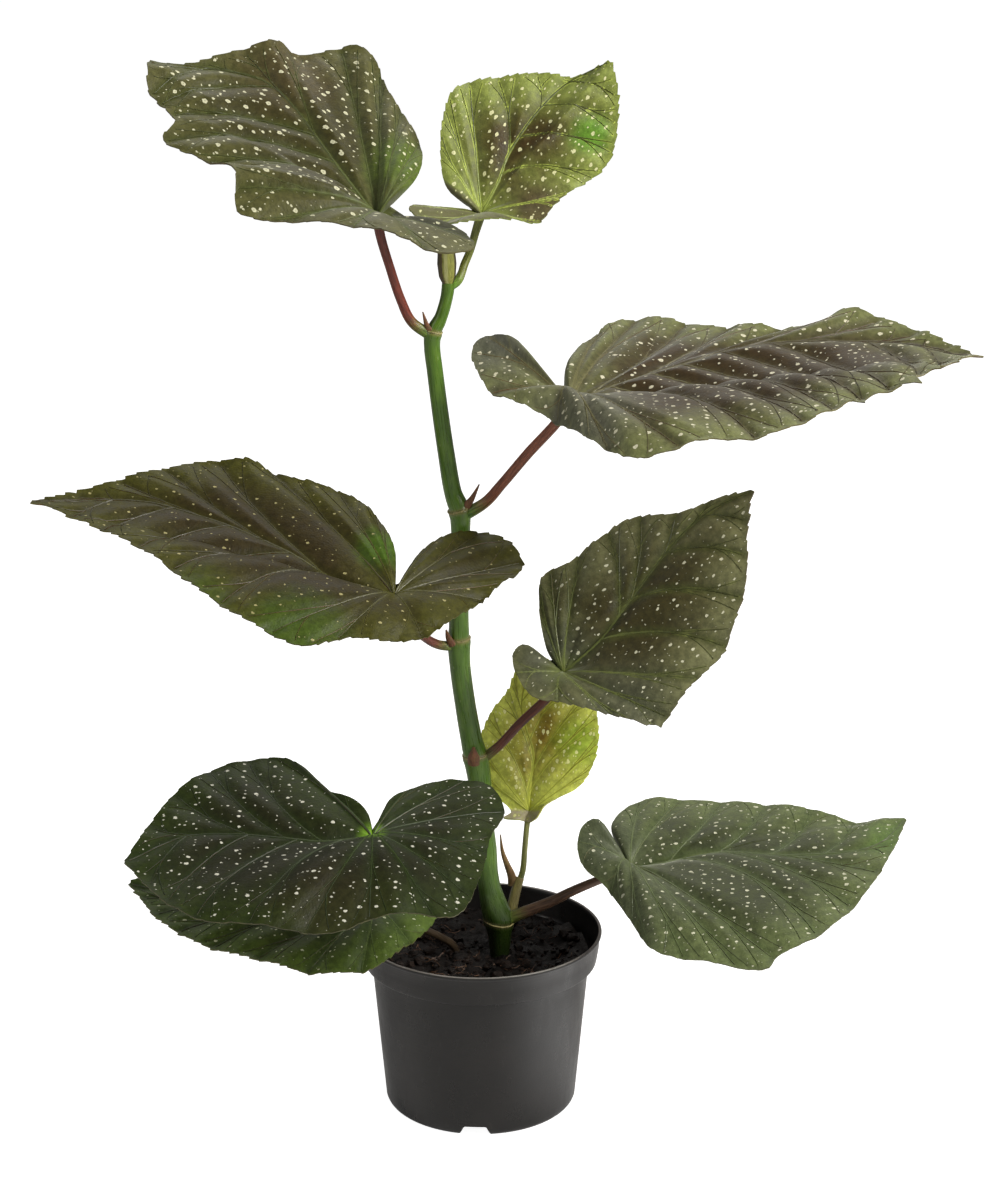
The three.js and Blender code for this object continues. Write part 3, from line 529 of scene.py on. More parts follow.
# Scars round the cane: [x, y, z, radius, tilt in degrees towards +X, tilt towards +Y]
RING_SCARS = [
    [9, 0, 94, 7.4, -8, 4], [-2.2, 0, 181, 6.1, 8, 6], [-10, 0, 240, 5.4, 2, 5],
    [-9.8, 0, 304, 5.1, 16, 6], [-21.2, 0, 389.5, 4, -14, 4],
]


# Handling the pieces

def take(*pieces):
    """Selects only these pieces; the first one is active."""
    bpy.ops.object.select_all(action="DESELECT")
    for piece in pieces:
        piece.select_set(True)
    bpy.context.view_layer.objects.active = pieces[0]


def add(operator, name, **settings):
    """Adds a primitive with nothing else selected, under its own name."""
    bpy.ops.object.select_all(action="DESELECT")
    operator(**settings)
    piece = bpy.context.object
    piece.name = name
    piece.data.name = name
    return piece


@contextmanager
def whole_mesh(piece):
    """Edit mode, with all of a piece's mesh selected."""
    take(piece)
    bpy.ops.object.mode_set(mode="EDIT")
    bpy.ops.mesh.select_all(action="SELECT")
    yield
    bpy.ops.object.mode_set(mode="OBJECT")


def smooth_shading(piece, angle):
    """Smooths the shading over edges that turn by less than an angle in degrees."""
    take(piece)
    bpy.ops.object.shade_smooth_by_angle(angle=math.radians(angle))


def join(pieces):
    """Makes one piece of several; it keeps the first one's name."""
    take(*pieces)
    bpy.ops.object.join()
    return bpy.context.object


def apply_modifier(piece, modifier):
    take(piece)
    bpy.ops.object.modifier_apply(modifier=modifier.name)


def corners(piece):
    """A mesh's points as rows, in metres."""
    points = np.empty(len(piece.data.vertices) * 3)
    piece.data.vertices.foreach_get("co", points)
    return points.reshape(-1, 3)


def set_corners(piece, points):
    piece.data.vertices.foreach_set("co", np.ascontiguousarray(points, dtype=float).ravel())
    piece.data.update()


def store(piece, name, values):
    """Keeps a number, or a row of three, with each point for the materials."""
    values = np.asarray(values, dtype=np.float32)
    kind = "FLOAT_VECTOR" if values.ndim == 2 else "FLOAT"
    attribute = piece.data.attributes.new(name, kind, "POINT")
    attribute.data.foreach_set("vector" if values.ndim == 2 else "value", values.ravel())


def dress(piece, *finishes):
    """Gives a piece its finishes, in the order of their numbers on its faces."""
    piece.data.materials.clear()
    for finish in finishes:
        piece.data.materials.append(finish)


def finish_piece(piece, node):
    """Fixes a piece to the plant and hides the solid it stands for."""
    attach(piece, BODY)
    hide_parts(node)


# Lines

def smooth(rows, steps):
    """A centripetal curve through rows; the distance is taken over the first three columns."""
    p = np.array(rows, dtype=float)
    ends = np.vstack([2 * p[0] - p[1], p, 2 * p[-1] - p[-2]])
    parts = []
    for i in range(1, len(ends) - 2):
        a, b, c, d = ends[i - 1:i + 3]
        t1 = np.linalg.norm((b - a)[:3]) ** 0.5
        t2 = t1 + np.linalg.norm((c - b)[:3]) ** 0.5
        t3 = t2 + np.linalg.norm((d - c)[:3]) ** 0.5
        t = np.linspace(t1, t2, steps, endpoint=False)[:, None]
        ab = (t1 - t) / t1 * a + t / t1 * b
        bc = (t2 - t) / (t2 - t1) * b + (t - t1) / (t2 - t1) * c
        cd = (t3 - t) / (t3 - t2) * c + (t - t2) / (t3 - t2) * d
        abc = (t2 - t) / t2 * ab + t / t2 * bc
        bcd = (t3 - t) / (t3 - t1) * bc + (t - t1) / (t3 - t1) * cd
        parts.append((t2 - t) / (t2 - t1) * abc + (t - t1) / (t2 - t1) * bcd)
    parts.append(p[-1:])
    return np.vstack(parts)


def travelled(line, columns=3):
    """The distance along a line at each of its points."""
    steps = np.linalg.norm(np.diff(line[:, :columns], axis=0), axis=1)
    return np.concatenate([[0], np.cumsum(steps)])


def along(line, places, columns=3):
    """Points of a line at distances along it."""
    d = travelled(line, columns)
    return np.stack([np.interp(places, d, line[:, k]) for k in range(line.shape[1])], axis=1)


def unit(vector):
    return vector / max(np.linalg.norm(vector), 1e-9)


# Round pieces

def drawn(name, lines):
    """Lines as curves, to be made a mesh: each row is x, y, z and radius in millimetres."""
    piece = add(bpy.ops.curve.primitive_nurbs_path_add, name, radius=MM)
    curve = piece.data
    curve.dimensions = "3D"
    curve.splines.clear()
    for line in lines:
        spline = curve.splines.new("POLY")
        spline.points.add(len(line) - 1)
        for point, (x, y, z, radius) in zip(spline.points, line):
            point.co = (x * MM, y * MM, z * MM, 1)
            point.radius = radius
    return piece


def meshed(piece, angle):
    """Makes a closed mesh of curves and their modifiers, its faces outwards."""
    take(piece)
    bpy.ops.object.convert(target="MESH")
    piece = bpy.context.object
    piece.data.name = piece.name
    with whole_mesh(piece):
        bpy.ops.mesh.remove_doubles(threshold=MERGE_GAP)
        bpy.ops.mesh.normals_make_consistent(inside=False)
    smooth_shading(piece, angle)
    return piece


def tube(name, lines, sides):
    """Round stalks as one mesh."""
    piece = drawn(name, lines)
    piece.data.bevel_depth = MM
    piece.data.bevel_resolution = max(0, (sides - 4) // 2)
    piece.data.use_fill_caps = True
    return meshed(piece, 40)


def turned(name, rows, sides):
    """A round shell: its profile as a line from axis to axis, turned about the upright axis."""
    profile = [[0, rows[0][1]], *rows, [0, rows[-1][1]]]
    piece = drawn(name, [[[radius, 0, height, 1] for radius, height in profile]])
    turn = piece.modifiers.new("turn", "SCREW")
    turn.steps = sides
    turn.render_steps = sides
    turn.use_merge_vertices = True
    turn.merge_threshold = MERGE_GAP
    return meshed(piece, 32)


def stalk_line(rows, spacing):
    """Rows at an even spacing along a stalk, with its radius."""
    line = smooth(rows, 16)
    length = travelled(line)[-1]
    places = np.linspace(0, len(rows) - 1, len(line))
    line[:, 3] = np.interp(places, range(len(rows)), [row[3] for row in rows])
    count = max(8, int(round(length / spacing)))
    return along(line, np.linspace(0, length, count))


# Leaves

class Blade:
    """One leaf blade: its plane, its margin, its veins and its surface."""

    def __init__(self, name, seed):
        self.name = name
        self.leaf = LEAVES[name]
        self.seed = seed
        self.chance = random.Random(seed)
        self.junction = np.array(self.leaf["junction"], dtype=float)
        heading, pitch, roll = np.radians(self.leaf["angles"])
        self.ahead = np.array([math.cos(pitch) * math.cos(heading),
                               math.cos(pitch) * math.sin(heading), math.sin(pitch)])
        up = np.array([-math.sin(pitch) * math.cos(heading),
                       -math.sin(pitch) * math.sin(heading), math.cos(pitch)])
        level = np.cross(up, self.ahead)
        self.across = math.cos(roll) * level + math.sin(roll) * up
        self.out = -math.sin(roll) * level + math.cos(roll) * up
        self.make_margin()
        self.make_veins()

    def make_margin(self):
        """Columns round the margin: place, lift, arch and how its teeth stand out."""
        rows = self.leaf["outline"]
        length, height, tip_height = self.leaf["tooth"]
        reach = [math.hypot(r[0], r[1]) for r in rows]
        tip = reach.index(max(reach))
        self.reach = max(reach)
        columns = []
        teeth = []
        for side, half in enumerate((rows[:tip + 1], rows[tip:])):
            line = smooth(half, 14)
            total = travelled(line, 2)[-1]
            count = max(8, round(total / length))
            marks = np.linspace(0, 1, count + 1)
            for k in range(1, count):
                marks[k] += self.chance.uniform(-TOOTH_SHIFT, TOOTH_SHIFT) / count
            for k in range(count):
                near_tip = marks[k] if side == 0 else 1 - marks[k]
                from_notch = near_tip * total
                # Over the last quarter the teeth go over to their height at the tip
                size = height + (tip_height - height) * max(0, near_tip * 4 - 3)
                size *= self.chance.uniform(*TOOTH_SIZES) * min(1, from_notch / TEETH_GROW)
                for part, out in TEETH[side]:
                    place = marks[k] + (marks[k + 1] - marks[k]) * part
                    columns.append(along(line, [place * total], 2)[0])
                    teeth.append(out * size)
        columns.append(np.array(rows[-1], dtype=float))
        teeth.append(0)
        self.margin = np.array(columns)
        line = self.margin[:, :2]
        tangent = np.roll(line, -1, axis=0) - np.roll(line, 1, axis=0)
        tangent /= np.maximum(np.linalg.norm(tangent, axis=1, keepdims=True), 1e-9)
        area = np.sum(line[:, 0] * np.roll(line[:, 1], -1) - line[:, 1] * np.roll(line[:, 0], -1))
        turn = 1 if area > 0 else -1
        outward = np.stack([tangent[:, 1], -tangent[:, 0]], axis=1) * turn
        self.teeth = outward * np.array(teeth)[:, None]
        for thorn in self.leaf.get("thorns", []):
            gap = np.array(thorn) - line
            nearest = int(np.argmin(np.linalg.norm(gap, axis=1)))
            self.teeth[nearest] = gap[nearest]
            for beside in (nearest - 1, nearest + 1):
                self.teeth[beside] = gap[nearest] * THORN_FOOT
        self.round = travelled(self.margin, 2)

    def margin_at(self, place):
        """The margin's point at a share of the way round."""
        return along(self.margin, [place * self.round[-1]], 2)[0][:2]

    def make_veins(self):
        """Midrib, primary and side veins, and their forks, each with its radius at both ends."""
        rib = smooth([[x, y, 0] for x, y in self.leaf["midrib"]], 12)[:, :2]
        length = travelled(rib, 2)[-1]
        even = along(rib, np.linspace(0, length, int(length / RIB_STEP)), 2)
        big = self.reach / LARGE_BLADE
        slimmer = 0.6 + 0.4 * big
        self.veins = [(even, 0.7 + 0.3 * big, RIB_TIP)]
        self.forks = []
        for k, (start, place) in enumerate(self.leaf["veins"]):
            root = along(rib, [start * length], 2)[0]
            lead = along(rib, [start * length + 2], 2)[0] - root
            path = self.vein(root, place, lead if start > 0 else None)
            radius = (0.52 if start < 0.3 else 0.44) * slimmer
            self.veins.append((path, radius, VEIN_TIP))
            for fork, side in FORKS[k % 2]:
                index = int(fork * (len(path) - 1))
                turn = path[index + 1] - path[index]
                away = place + side * self.chance.uniform(*FORK_SPREAD)
                if 0.03 < away < 0.97:
                    self.forks.append((self.vein(path[index], away, turn * 1.4), *FORK_RADII))

    def vein(self, root, place, lead):
        """A bent line from a root to just inside the margin."""
        end = self.margin_at(place) * VEIN_REACH
        gap = end - root
        length = np.linalg.norm(gap)
        direction = unit(gap) if lead is None else unit(unit(gap) + VEIN_BEND * unit(lead))
        middle = root + 0.5 * length * direction
        t = np.linspace(0, 1, max(6, int(length / VEIN_STEP)))[:, None]
        return (1 - t) ** 2 * root + 2 * t * (1 - t) * middle + t ** 2 * end

    def gaps(self, points):
        """The distance from each point of the plane to the nearest vein, fork and margin."""
        result = []
        main = [p for path, _, _ in self.veins for p in path]
        small = [p for path, _, _ in self.forks for p in path]
        for targets in (main, small, list(self.margin[:, :2])):
            tree = KDTree(len(targets))
            for i, p in enumerate(targets):
                tree.insert((p[0], p[1], 0), i)
            tree.balance()
            result.append(np.array([tree.find((x, y, 0))[2] for x, y in points]))
        return result

    def relief(self, points):
        """How far the blade swells between its veins."""
        main, small, _ = self.gaps(points)
        rise = 1 - (1 - np.minimum(main / SWELL_WIDTH, 1)) ** 2
        crease = 1 - CREASE_DEPTH * np.exp(-(small / CREASE_WIDTH) ** 2)
        start = np.minimum(1, np.linalg.norm(points, axis=1) / SWELL_START)
        return self.leaf["folds"] * (SWELL_HEIGHT * rise * crease * start - SWELL_SINK)

    def waves(self, plane, pitch, seed):
        """Slow noise over the blade."""
        return np.array([noise.noise((x * pitch, y * pitch, seed)) for x, y in plane])

    def world(self, plane, height):
        """Points over the blade's plane as points of the room."""
        return (self.junction + plane[:, :1] * self.ahead + plane[:, 1:2] * self.across
                + np.asarray(height)[:, None] * self.out)

    def make_skin(self):
        """The blade as one sheet, from a grid of columns round the margin and rings."""
        columns = len(self.margin)
        rings = max(24, int(self.reach / RING_SPACING))
        piece = add(bpy.ops.mesh.primitive_grid_add, "leaf_" + self.name,
                    x_subdivisions=columns, y_subdivisions=rings, size=1)
        flat = corners(piece)
        column = np.rint((flat[:, 0] + 0.5) * columns).astype(int) % columns
        share = np.rint((flat[:, 1] + 0.5) * rings) / rings
        margin = self.margin[column]
        arch = 4 * share ** ARCH_PEAK * (1 - share ** ARCH_PEAK)
        plane = margin[:, :2] * share[:, None] + self.teeth[column] * (share ** 14)[:, None]
        frill = FRILL[1] * self.waves(plane, FRILL[0], self.seed)
        ripple = RIPPLE[1] * self.waves(plane, RIPPLE[0], self.seed + RIPPLE_SEED)
        height = margin[:, 2] * share + margin[:, 3] * arch
        from_notch = np.minimum(self.round, self.round[-1] - self.round)[column]
        calm = 1 - CALM[0] * share ** 3 * np.exp(-(from_notch / CALM[1]) ** 2)
        height += self.relief(plane) * calm + frill * share ** 4 + ripple * share ** 2
        set_corners(piece, self.world(plane, height) * MM)
        with whole_mesh(piece):
            bpy.ops.mesh.remove_doubles(threshold=2 * MERGE_GAP)
        lean = np.zeros(3)
        for face in piece.data.polygons:
            lean += np.array(face.normal) * face.area
        if lean @ self.out < 0:
            with whole_mesh(piece):
                bpy.ops.mesh.flip_normals()
        mesh = piece.data
        self.surface = BVHTree.FromPolygons([v.co.copy() for v in mesh.vertices],
                                            [tuple(p.vertices) for p in mesh.polygons])
        return piece

    def height_at(self, place):
        """The sheet's height above the junction's plane, or nothing outside the sheet."""
        start = self.world(np.array([place[:2]]), [SOUNDING_HEIGHT])[0]
        hit = self.surface.ray_cast(Vector(start * MM), Vector(-self.out))
        return None if hit[0] is None else SOUNDING_HEIGHT - hit[3] / MM

    def vein_lines(self):
        """Rows of every vein: flush with the upper face, and standing out below."""
        lines = []
        for path, first, last in self.veins + self.forks:
            rows = []
            for k, place in enumerate(path):
                height = self.height_at(place)
                if height is None:
                    continue
                share = k / (len(path) - 1)
                radius = first + (last - first) * share ** 0.8
                centre = height + BLADE_THICKNESS / 2 + VEIN_STAND - radius
                point = self.junction + place[0] * self.ahead + place[1] * self.across
                rows.append([*(point + centre * self.out), radius])
            if len(rows) > 3:
                lines.append(rows)
        return lines

    def make(self):
        """The blade with its wall, its veins and its finishes."""
        piece = self.make_skin()
        finishes = leaf_finishes(self.name)
        dress(piece, *finishes)
        wall = piece.modifiers.new("thickness", "SOLIDIFY")
        wall.thickness = BLADE_THICKNESS * MM
        wall.offset = 0
        wall.material_offset = UNDERSIDE
        wall.material_offset_rim = RIM
        apply_modifier(piece, wall)
        veins = tube("veins_" + self.name, self.vein_lines(), sides=8)
        dress(veins, *finishes)
        for face in veins.data.polygons:
            upper = np.array(face.normal) @ self.out > 0.1
            face.material_index = VEIN_ABOVE if upper else VEIN_BELOW
        piece = join([piece, veins])
        smooth_shading(piece, 70)
        while piece.data.uv_layers:
            piece.data.uv_layers.remove(piece.data.uv_layers[0])
        from_junction = corners(piece) / MM - self.junction
        plane = np.stack([from_junction @ self.ahead, from_junction @ self.across], axis=1)
        store(piece, "leaf_place", np.column_stack([plane, np.zeros(len(plane))]))
        for name, gap in zip(GAPS, self.gaps(plane)):
            store(piece, name, gap)
        finish_piece(piece, "blade_" + self.name)


# Finishes

def tint(text):
    """A colour written in hexadecimal, as light."""
    parts = [int(text[k:k + 2], 16) / 255 for k in (0, 2, 4)]
    return (*[p / 12.92 if p <= 0.04045 else ((p + 0.055) / 1.055) ** 2.4 for p in parts], 1)


# The sockets of a colour mix: share, first and second colour, and the result
MIX_SOCKETS = (0, 6, 7)
MIX_RESULT = 2


class Finish:
    """A node material; each call adds one node and gives back its output."""

    def __init__(self, name, **constants):
        self.material = bpy.data.materials.new(name)
        self.material.use_nodes = True
        self.tree = self.material.node_tree
        self.shader = self.tree.nodes["Principled BSDF"]
        for socket, value in constants.items():
            self.shader.inputs[socket.replace("_", " ")].default_value = value

    def feed(self, socket, value):
        if isinstance(value, bpy.types.NodeSocket):
            self.tree.links.new(value, socket)
        else:
            socket.default_value = value

    def node(self, kind, output, settings=None, **inputs):
        node = self.tree.nodes.new("ShaderNode" + kind)
        for key, value in (settings or {}).items():
            setattr(node, key, value)
        for key, value in inputs.items():
            self.feed(node.inputs[key.replace("_", " ")], value)
        return node.outputs[output]

    def attribute(self, name, output="Fac"):
        return self.node("Attribute", output, {"attribute_name": name})

    def object_place(self, scale):
        """The place on the piece, in metres times a scale for each axis."""
        return self.stretch(self.node("TexCoord", "Object"), scale)

    def stretch(self, vector, scale):
        """The vector times a scale for each axis; a small one draws a pattern out."""
        return self.node("Mapping", "Vector", Vector=vector, Scale=scale)

    def noise(self, vector, scale, detail=3, roughness=0.5, output="Fac"):
        """Soft noise; the scale is in features to a unit of the vector, mostly millimetres."""
        return self.node("TexNoise", output, Vector=vector, Scale=scale, Detail=detail,
                         Roughness=roughness)

    def cells(self, vector, scale, feature="F1", randomness=1.0, flat="3D"):
        """The distance from the cells' middles, or edges; .node.outputs has each cell's lot."""
        settings = {"feature": feature, "voronoi_dimensions": flat}
        return self.node("TexVoronoi", "Distance", settings, Vector=vector, Scale=scale,
                         Randomness=randomness)

    def work(self, kind, output, operation, *values):
        """A node that works on its values in order."""
        result = self.node(kind, output, {"operation": operation})
        for socket, value in zip(result.node.inputs, values):
            self.feed(socket, value)
        return result

    def sum(self, operation, *values):
        return self.work("Math", "Value", operation, *values)

    def plus(self, a, b):
        return self.sum("ADD", a, b)

    def times(self, a, b):
        return self.sum("MULTIPLY", a, b)

    def distance(self, place, point):
        return self.work("VectorMath", "Value", "DISTANCE", place, point)

    def span(self, value, low, high, out_low=0.0, out_high=1.0):
        """A smooth step of a value from low to high, from one result to the other."""
        node = self.tree.nodes.new("ShaderNodeMapRange")
        node.interpolation_type = "SMOOTHSTEP"
        for key, number in (("Value", value), ("From Min", low), ("From Max", high),
                            ("To Min", out_low), ("To Max", out_high)):
            self.feed(node.inputs[key], number)
        return node.outputs["Result"]

    def mix(self, share, a, b, blend="MIX"):
        """A share of colour b over colour a."""
        node = self.tree.nodes.new("ShaderNodeMix")
        node.data_type = "RGBA"
        node.blend_type = blend
        for socket, value in zip(MIX_SOCKETS, (share, a, b)):
            self.feed(node.inputs[socket], value)
        return node.outputs[MIX_RESULT]

    def toned(self, colour, *shares):
        """A colour made darker or lighter, by a share for its red, green and blue."""
        return self.mix(1.0, colour, (*shares, 1), "MULTIPLY")

    def mottled(self, value, low, high, dark, light):
        """A mix of two colours, by a value's smooth step from low to high."""
        return self.mix(self.span(value, low, high), dark, light)

    def colour(self, value):
        self.feed(self.shader.inputs["Base Color"], value)

    def roughness(self, value):
        self.feed(self.shader.inputs["Roughness"], value)

    def bump(self, height, distance, strength):
        """Relief in metres; a second call lies on the first."""
        node = self.tree.nodes.new("ShaderNodeBump")
        node.inputs["Distance"].default_value = distance
        node.inputs["Strength"].default_value = strength
        self.tree.links.new(height, node.inputs["Height"])
        normal = self.shader.inputs["Normal"]
        if normal.is_linked:
            self.tree.links.new(normal.links[0].from_socket, node.inputs["Normal"])
        self.tree.links.new(node.outputs["Normal"], normal)


def leaf_skin(name, middle, margin, beside, vein, spots, pitch, size):
    """The upper face: mottled skin, pale spots between the veins and a fine leathery grain."""
    finish = Finish("leaf_skin_" + name, Specular_IOR_Level=0.25,
                    Sheen_Weight=SMOOTHER.get(name, DOWN), Sheen_Roughness=0.4,
                    Sheen_Tint=(0.95, 0.97, 0.9, 1))
    place = finish.attribute("leaf_place", "Vector")
    vein_gap, fork_gap, edge_gap = (finish.attribute(gap) for gap in GAPS)
    drift = finish.noise(place, 0.05, 4, 0.6)
    mottle = finish.noise(place, 0.3, 4, 0.65)
    from_edge = finish.plus(edge_gap, finish.times(drift, -24))
    colour = finish.mottled(from_edge, -12, 20, tint(margin), tint(middle))
    share = BESIDE_SHARES[0] if name in BRIGHT_VEINS else BESIDE_SHARES[1]
    colour = finish.mix(finish.span(vein_gap, 0.3, 4.2, share, 0), colour, tint(beside))
    # Greener and browner patches of colour, and greyer ones that are painted sheen
    for x, y, reach, shade, share in PATCHES_AND_PAINTED_SHEEN.get(name, []):
        ragged = finish.plus(finish.distance(place, (x, y, 0)), finish.times(drift, reach * 0.8))
        part = finish.span(ragged, reach * 0.6, reach * 1.4, share, 0)
        colour = finish.mix(part, colour, tint(shade))
    share = BRIGHT_VEINS.get(name, VEIN_SHARE)
    colour = finish.mix(finish.span(fork_gap, 0.1, 1, share, 0), colour, tint(vein))
    colour = finish.mix(finish.span(vein_gap, 0.2, 1, share * 1.1, 0), colour, tint(vein))
    dark = finish.toned(colour, 0.74, 0.74, 0.72)
    light = finish.toned(colour, 1.16, 1.15, 1.12)
    colour = finish.mottled(mottle, 0.34, 0.66, dark, light)
    shade, share, width = HEARTS.get(name, [vein, 0.35, 12])
    heart = finish.span(finish.distance(place, (0, 0, 0)), 0, width, share, 0)
    colour = finish.mix(heart, colour, tint(shade))
    # Curled faces showing another side; on top_left this is painted shade
    if name in CURLED_AND_SHADED:
        shade, *reaches = CURLED_AND_SHADED[name]
        split = finish.node("SeparateXYZ", "X", Vector=place).node.outputs
        sides = [finish.span(split[k], far - 1, far + 1, 1, 0) for k, far in enumerate(reaches)]
        faded = finish.toned(tint(shade), 0.6, 0.6, 0.56)
        streaked = finish.mottled(mottle, 0.3, 0.7, tint(shade), faded)
        colour = finish.mix(finish.times(finish.times(*sides), 0.85), colour, streaked)
    clear = finish.times(finish.span(vein_gap, 0.7, 2.6), finish.span(edge_gap, 0.6, 2))
    spot, ring = pale_spots(finish, place, clear, pitch, size)
    colour = finish.mix(finish.times(ring, 0.4), colour, dark)
    colour = finish.mix(finish.times(spot, 0.8), colour, tint(spots))
    finish.colour(colour)
    finish.roughness(finish.span(mottle, 0.2, 0.8, 0.42, 0.56))
    grain = finish.cells(place, 0.9, flat="2D")
    finish.bump(finish.plus(grain, finish.times(mottle, 1.5)), 0.0002, 0.35)
    return finish.material


def pale_spots(finish, place, clear, pitch, size):
    """Where the pale spots and their darker rings lie: large spots, and smaller ones between."""
    wander = finish.work("VectorMath", "Vector", "MULTIPLY_ADD",
                         finish.noise(place, 0.8, 2, output="Color"), (1.1, 1.1, 0),
                         finish.stretch(place, (0.68, 1, 1)))
    spots = []
    rings = []
    for cell, widest, least in ((pitch, size, 0), (pitch * 0.72, size * 0.52, -0.5)):
        cells = finish.cells(wander, 1 / cell, randomness=0.68, flat="2D")
        lot = finish.node("SeparateColor", "Red", Color=cells.node.outputs["Color"])
        radius = finish.sum("MULTIPLY_ADD", lot, (1 - least) * widest / 2, least * widest / 2)
        edge = finish.sum("SUBTRACT", finish.times(cells, cell), finish.times(radius, clear))
        outer = finish.span(edge, -0.14, 0.1, 1, 0)
        pit = finish.span(edge, -0.95, -0.35, 0.55, 1)
        spots.append(finish.times(outer, pit))
        rings.append(finish.span(edge, 0.1, 0.6, 1, 0))
    return finish.sum("MAXIMUM", *spots), finish.sum("MAXIMUM", *rings)


def leaf_underside(name, shade):
    """The lower face: red-brown, netted with finer veins."""
    finish = Finish("leaf_underside_" + name, Specular_IOR_Level=0.35)
    place = finish.attribute("leaf_place", "Vector")
    edge_gap = finish.attribute("edge_gap")
    mottle = finish.noise(place, 0.22, 4, 0.6)
    net = finish.cells(place, 0.3, feature="DISTANCE_TO_EDGE", flat="2D")
    line = finish.span(net, 0.01, 0.09, 1, 0)
    edge_tint, net_tint, _ = map(tint, UNDERSIDE_TINTS)
    base = finish.mottled(mottle, 0.35, 0.65, finish.toned(tint(shade), 0.72, 0.7, 0.7),
                          finish.toned(tint(shade), 1.3, 1.28, 1.25))
    base = finish.mix(finish.span(edge_gap, 0, 9, 0.5, 0), base, edge_tint)
    finish.colour(finish.mix(finish.times(line, 0.35), base, net_tint))
    finish.roughness(finish.span(mottle, 0.2, 0.8, 0.46, 0.6))
    grain = finish.sum("MULTIPLY_ADD", finish.noise(place, 2.2), 0.5, line)
    finish.bump(grain, 0.0003, 0.6)
    return finish.material


def leaf_rim(name, shade):
    """The thin line of the margin."""
    finish = Finish("leaf_rim_" + name)
    mottle = finish.noise(finish.attribute("leaf_place", "Vector"), 0.4)
    dark = finish.toned(tint(shade), 0.6, 0.6, 0.55)
    finish.colour(finish.mottled(mottle, 0.35, 0.65, tint(shade), dark))
    finish.roughness(finish.span(mottle, 0.2, 0.8, 0.45, 0.6))
    return finish.material


def leaf_vein(name, shade, skin, reach, lower):
    """A vein: bright where it starts, and close to the skin's own shade near the margin."""
    finish = Finish(("vein_below_" if lower else "vein_above_") + name)
    place = finish.attribute("leaf_place", "Vector")
    mottle = finish.noise(place, 0.5)
    away = finish.span(finish.distance(place, (0, 0, 0)), reach * 0.08, reach * 0.8, 0, 0.72)
    fade = finish.plus(away, finish.sum("MULTIPLY_ADD", mottle, 0.3, 0.5))
    fade.node.use_clamp = True
    finish.colour(finish.mix(fade, tint(shade), tint(skin)))
    finish.roughness(finish.span(mottle, 0.2, 0.8, 0.36, 0.5))
    finish.bump(mottle, 0.0002, 0.5)
    return finish.material


def leaf_finishes(name):
    """A blade's finishes in order: upper face, underside, rim, and the veins above and below."""
    middle, margin, beside, vein, spots, pitch, size, under, rim = TINTS[name]
    reach = max(math.hypot(row[0], row[1]) for row in LEAVES[name]["outline"])
    return [
        leaf_skin(name, middle, margin, beside, vein, spots, pitch, size),
        leaf_underside(name, under),
        leaf_rim(name, rim),
        leaf_vein(name, vein, beside, reach, False),
        leaf_vein(name, UNDERSIDE_TINTS[2], under, reach, True),
    ]


def stalk_skin(name, foot, length):
    """A leaf stalk: green where it leaves the cane, then its own shade, in fine long streaks."""
    finish = Finish("stalk_skin_" + name, Specular_IOR_Level=0.5)
    share = finish.attribute("share")
    place = finish.attribute("ring_place", "Vector")
    streak = finish.noise(finish.stretch(place, (3, 3, 0.12)), 1, 4, 0.6)
    speck = finish.noise(place, 1.6, 3, 0.6)
    edge = finish.plus(share, finish.times(speck, 0.16))
    colour = finish.mottled(edge, 0.1, 0.34, tint(foot), tint(length))
    colour = finish.mix(finish.span(share, 0.93, 1.0, 0, 0.35), colour, tint(STALK_END_TINT))
    dark = finish.toned(colour, 0.62, 0.6, 0.6)
    light = finish.toned(colour, 1.5, 1.45, 1.4)
    finish.colour(finish.mottled(streak, 0.34, 0.66, dark, light))
    finish.roughness(finish.span(speck, 0.2, 0.8, 0.3, 0.46))
    finish.bump(streak, 0.0003, 0.6)
    finish.bump(speck, 0.00015, 0.4)
    return finish.material


def cane_skin():
    """The cane: glossy green with long streaks, pale scars at its nodes, small flecks and a painted
    shade darkening its foot.
    """
    finish = Finish("cane_skin", Specular_IOR_Level=0.6)
    green, light_green, cloudy, pale, scarred, dark = map(tint, CANE_TINTS_AND_FOOT_SHADE)
    place = finish.attribute("ring_place", "Vector")
    streak = finish.noise(finish.stretch(place, (1.6, 1.6, 0.06)), 1, 4, 0.6)
    cloud = finish.noise(finish.stretch(place, (0.4, 0.4, 0.1)), 1, 3, 0.5)
    fleck = finish.cells(finish.stretch(place, (1, 1, 0.4)), 0.34)
    colour = finish.mottled(streak, 0.1, 0.9, green, light_green)
    colour = finish.mix(finish.span(cloud, 0.42, 0.7, 0, 0.3), colour, cloudy)
    colour = finish.mix(finish.span(fleck, 0.06, 0.14, 0.25, 0), colour, pale)
    colour = finish.mix(finish.span(finish.attribute("scar"), 0.1, 0.9, 0, 0.8), colour, scarred)
    # Painted shade: the cane darkens towards its foot, where it goes down into the pot
    foot = finish.span(finish.attribute("share"), 0.04, 0.22, 0.9, 0)
    finish.colour(finish.mix(foot, colour, dark))
    finish.roughness(finish.span(streak, 0.2, 0.8, 0.24, 0.36))
    finish.bump(streak, 0.0002, 0.4)
    finish.bump(finish.span(fleck, 0.06, 0.14, 1, 0), 0.0002, 0.5)
    return finish.material


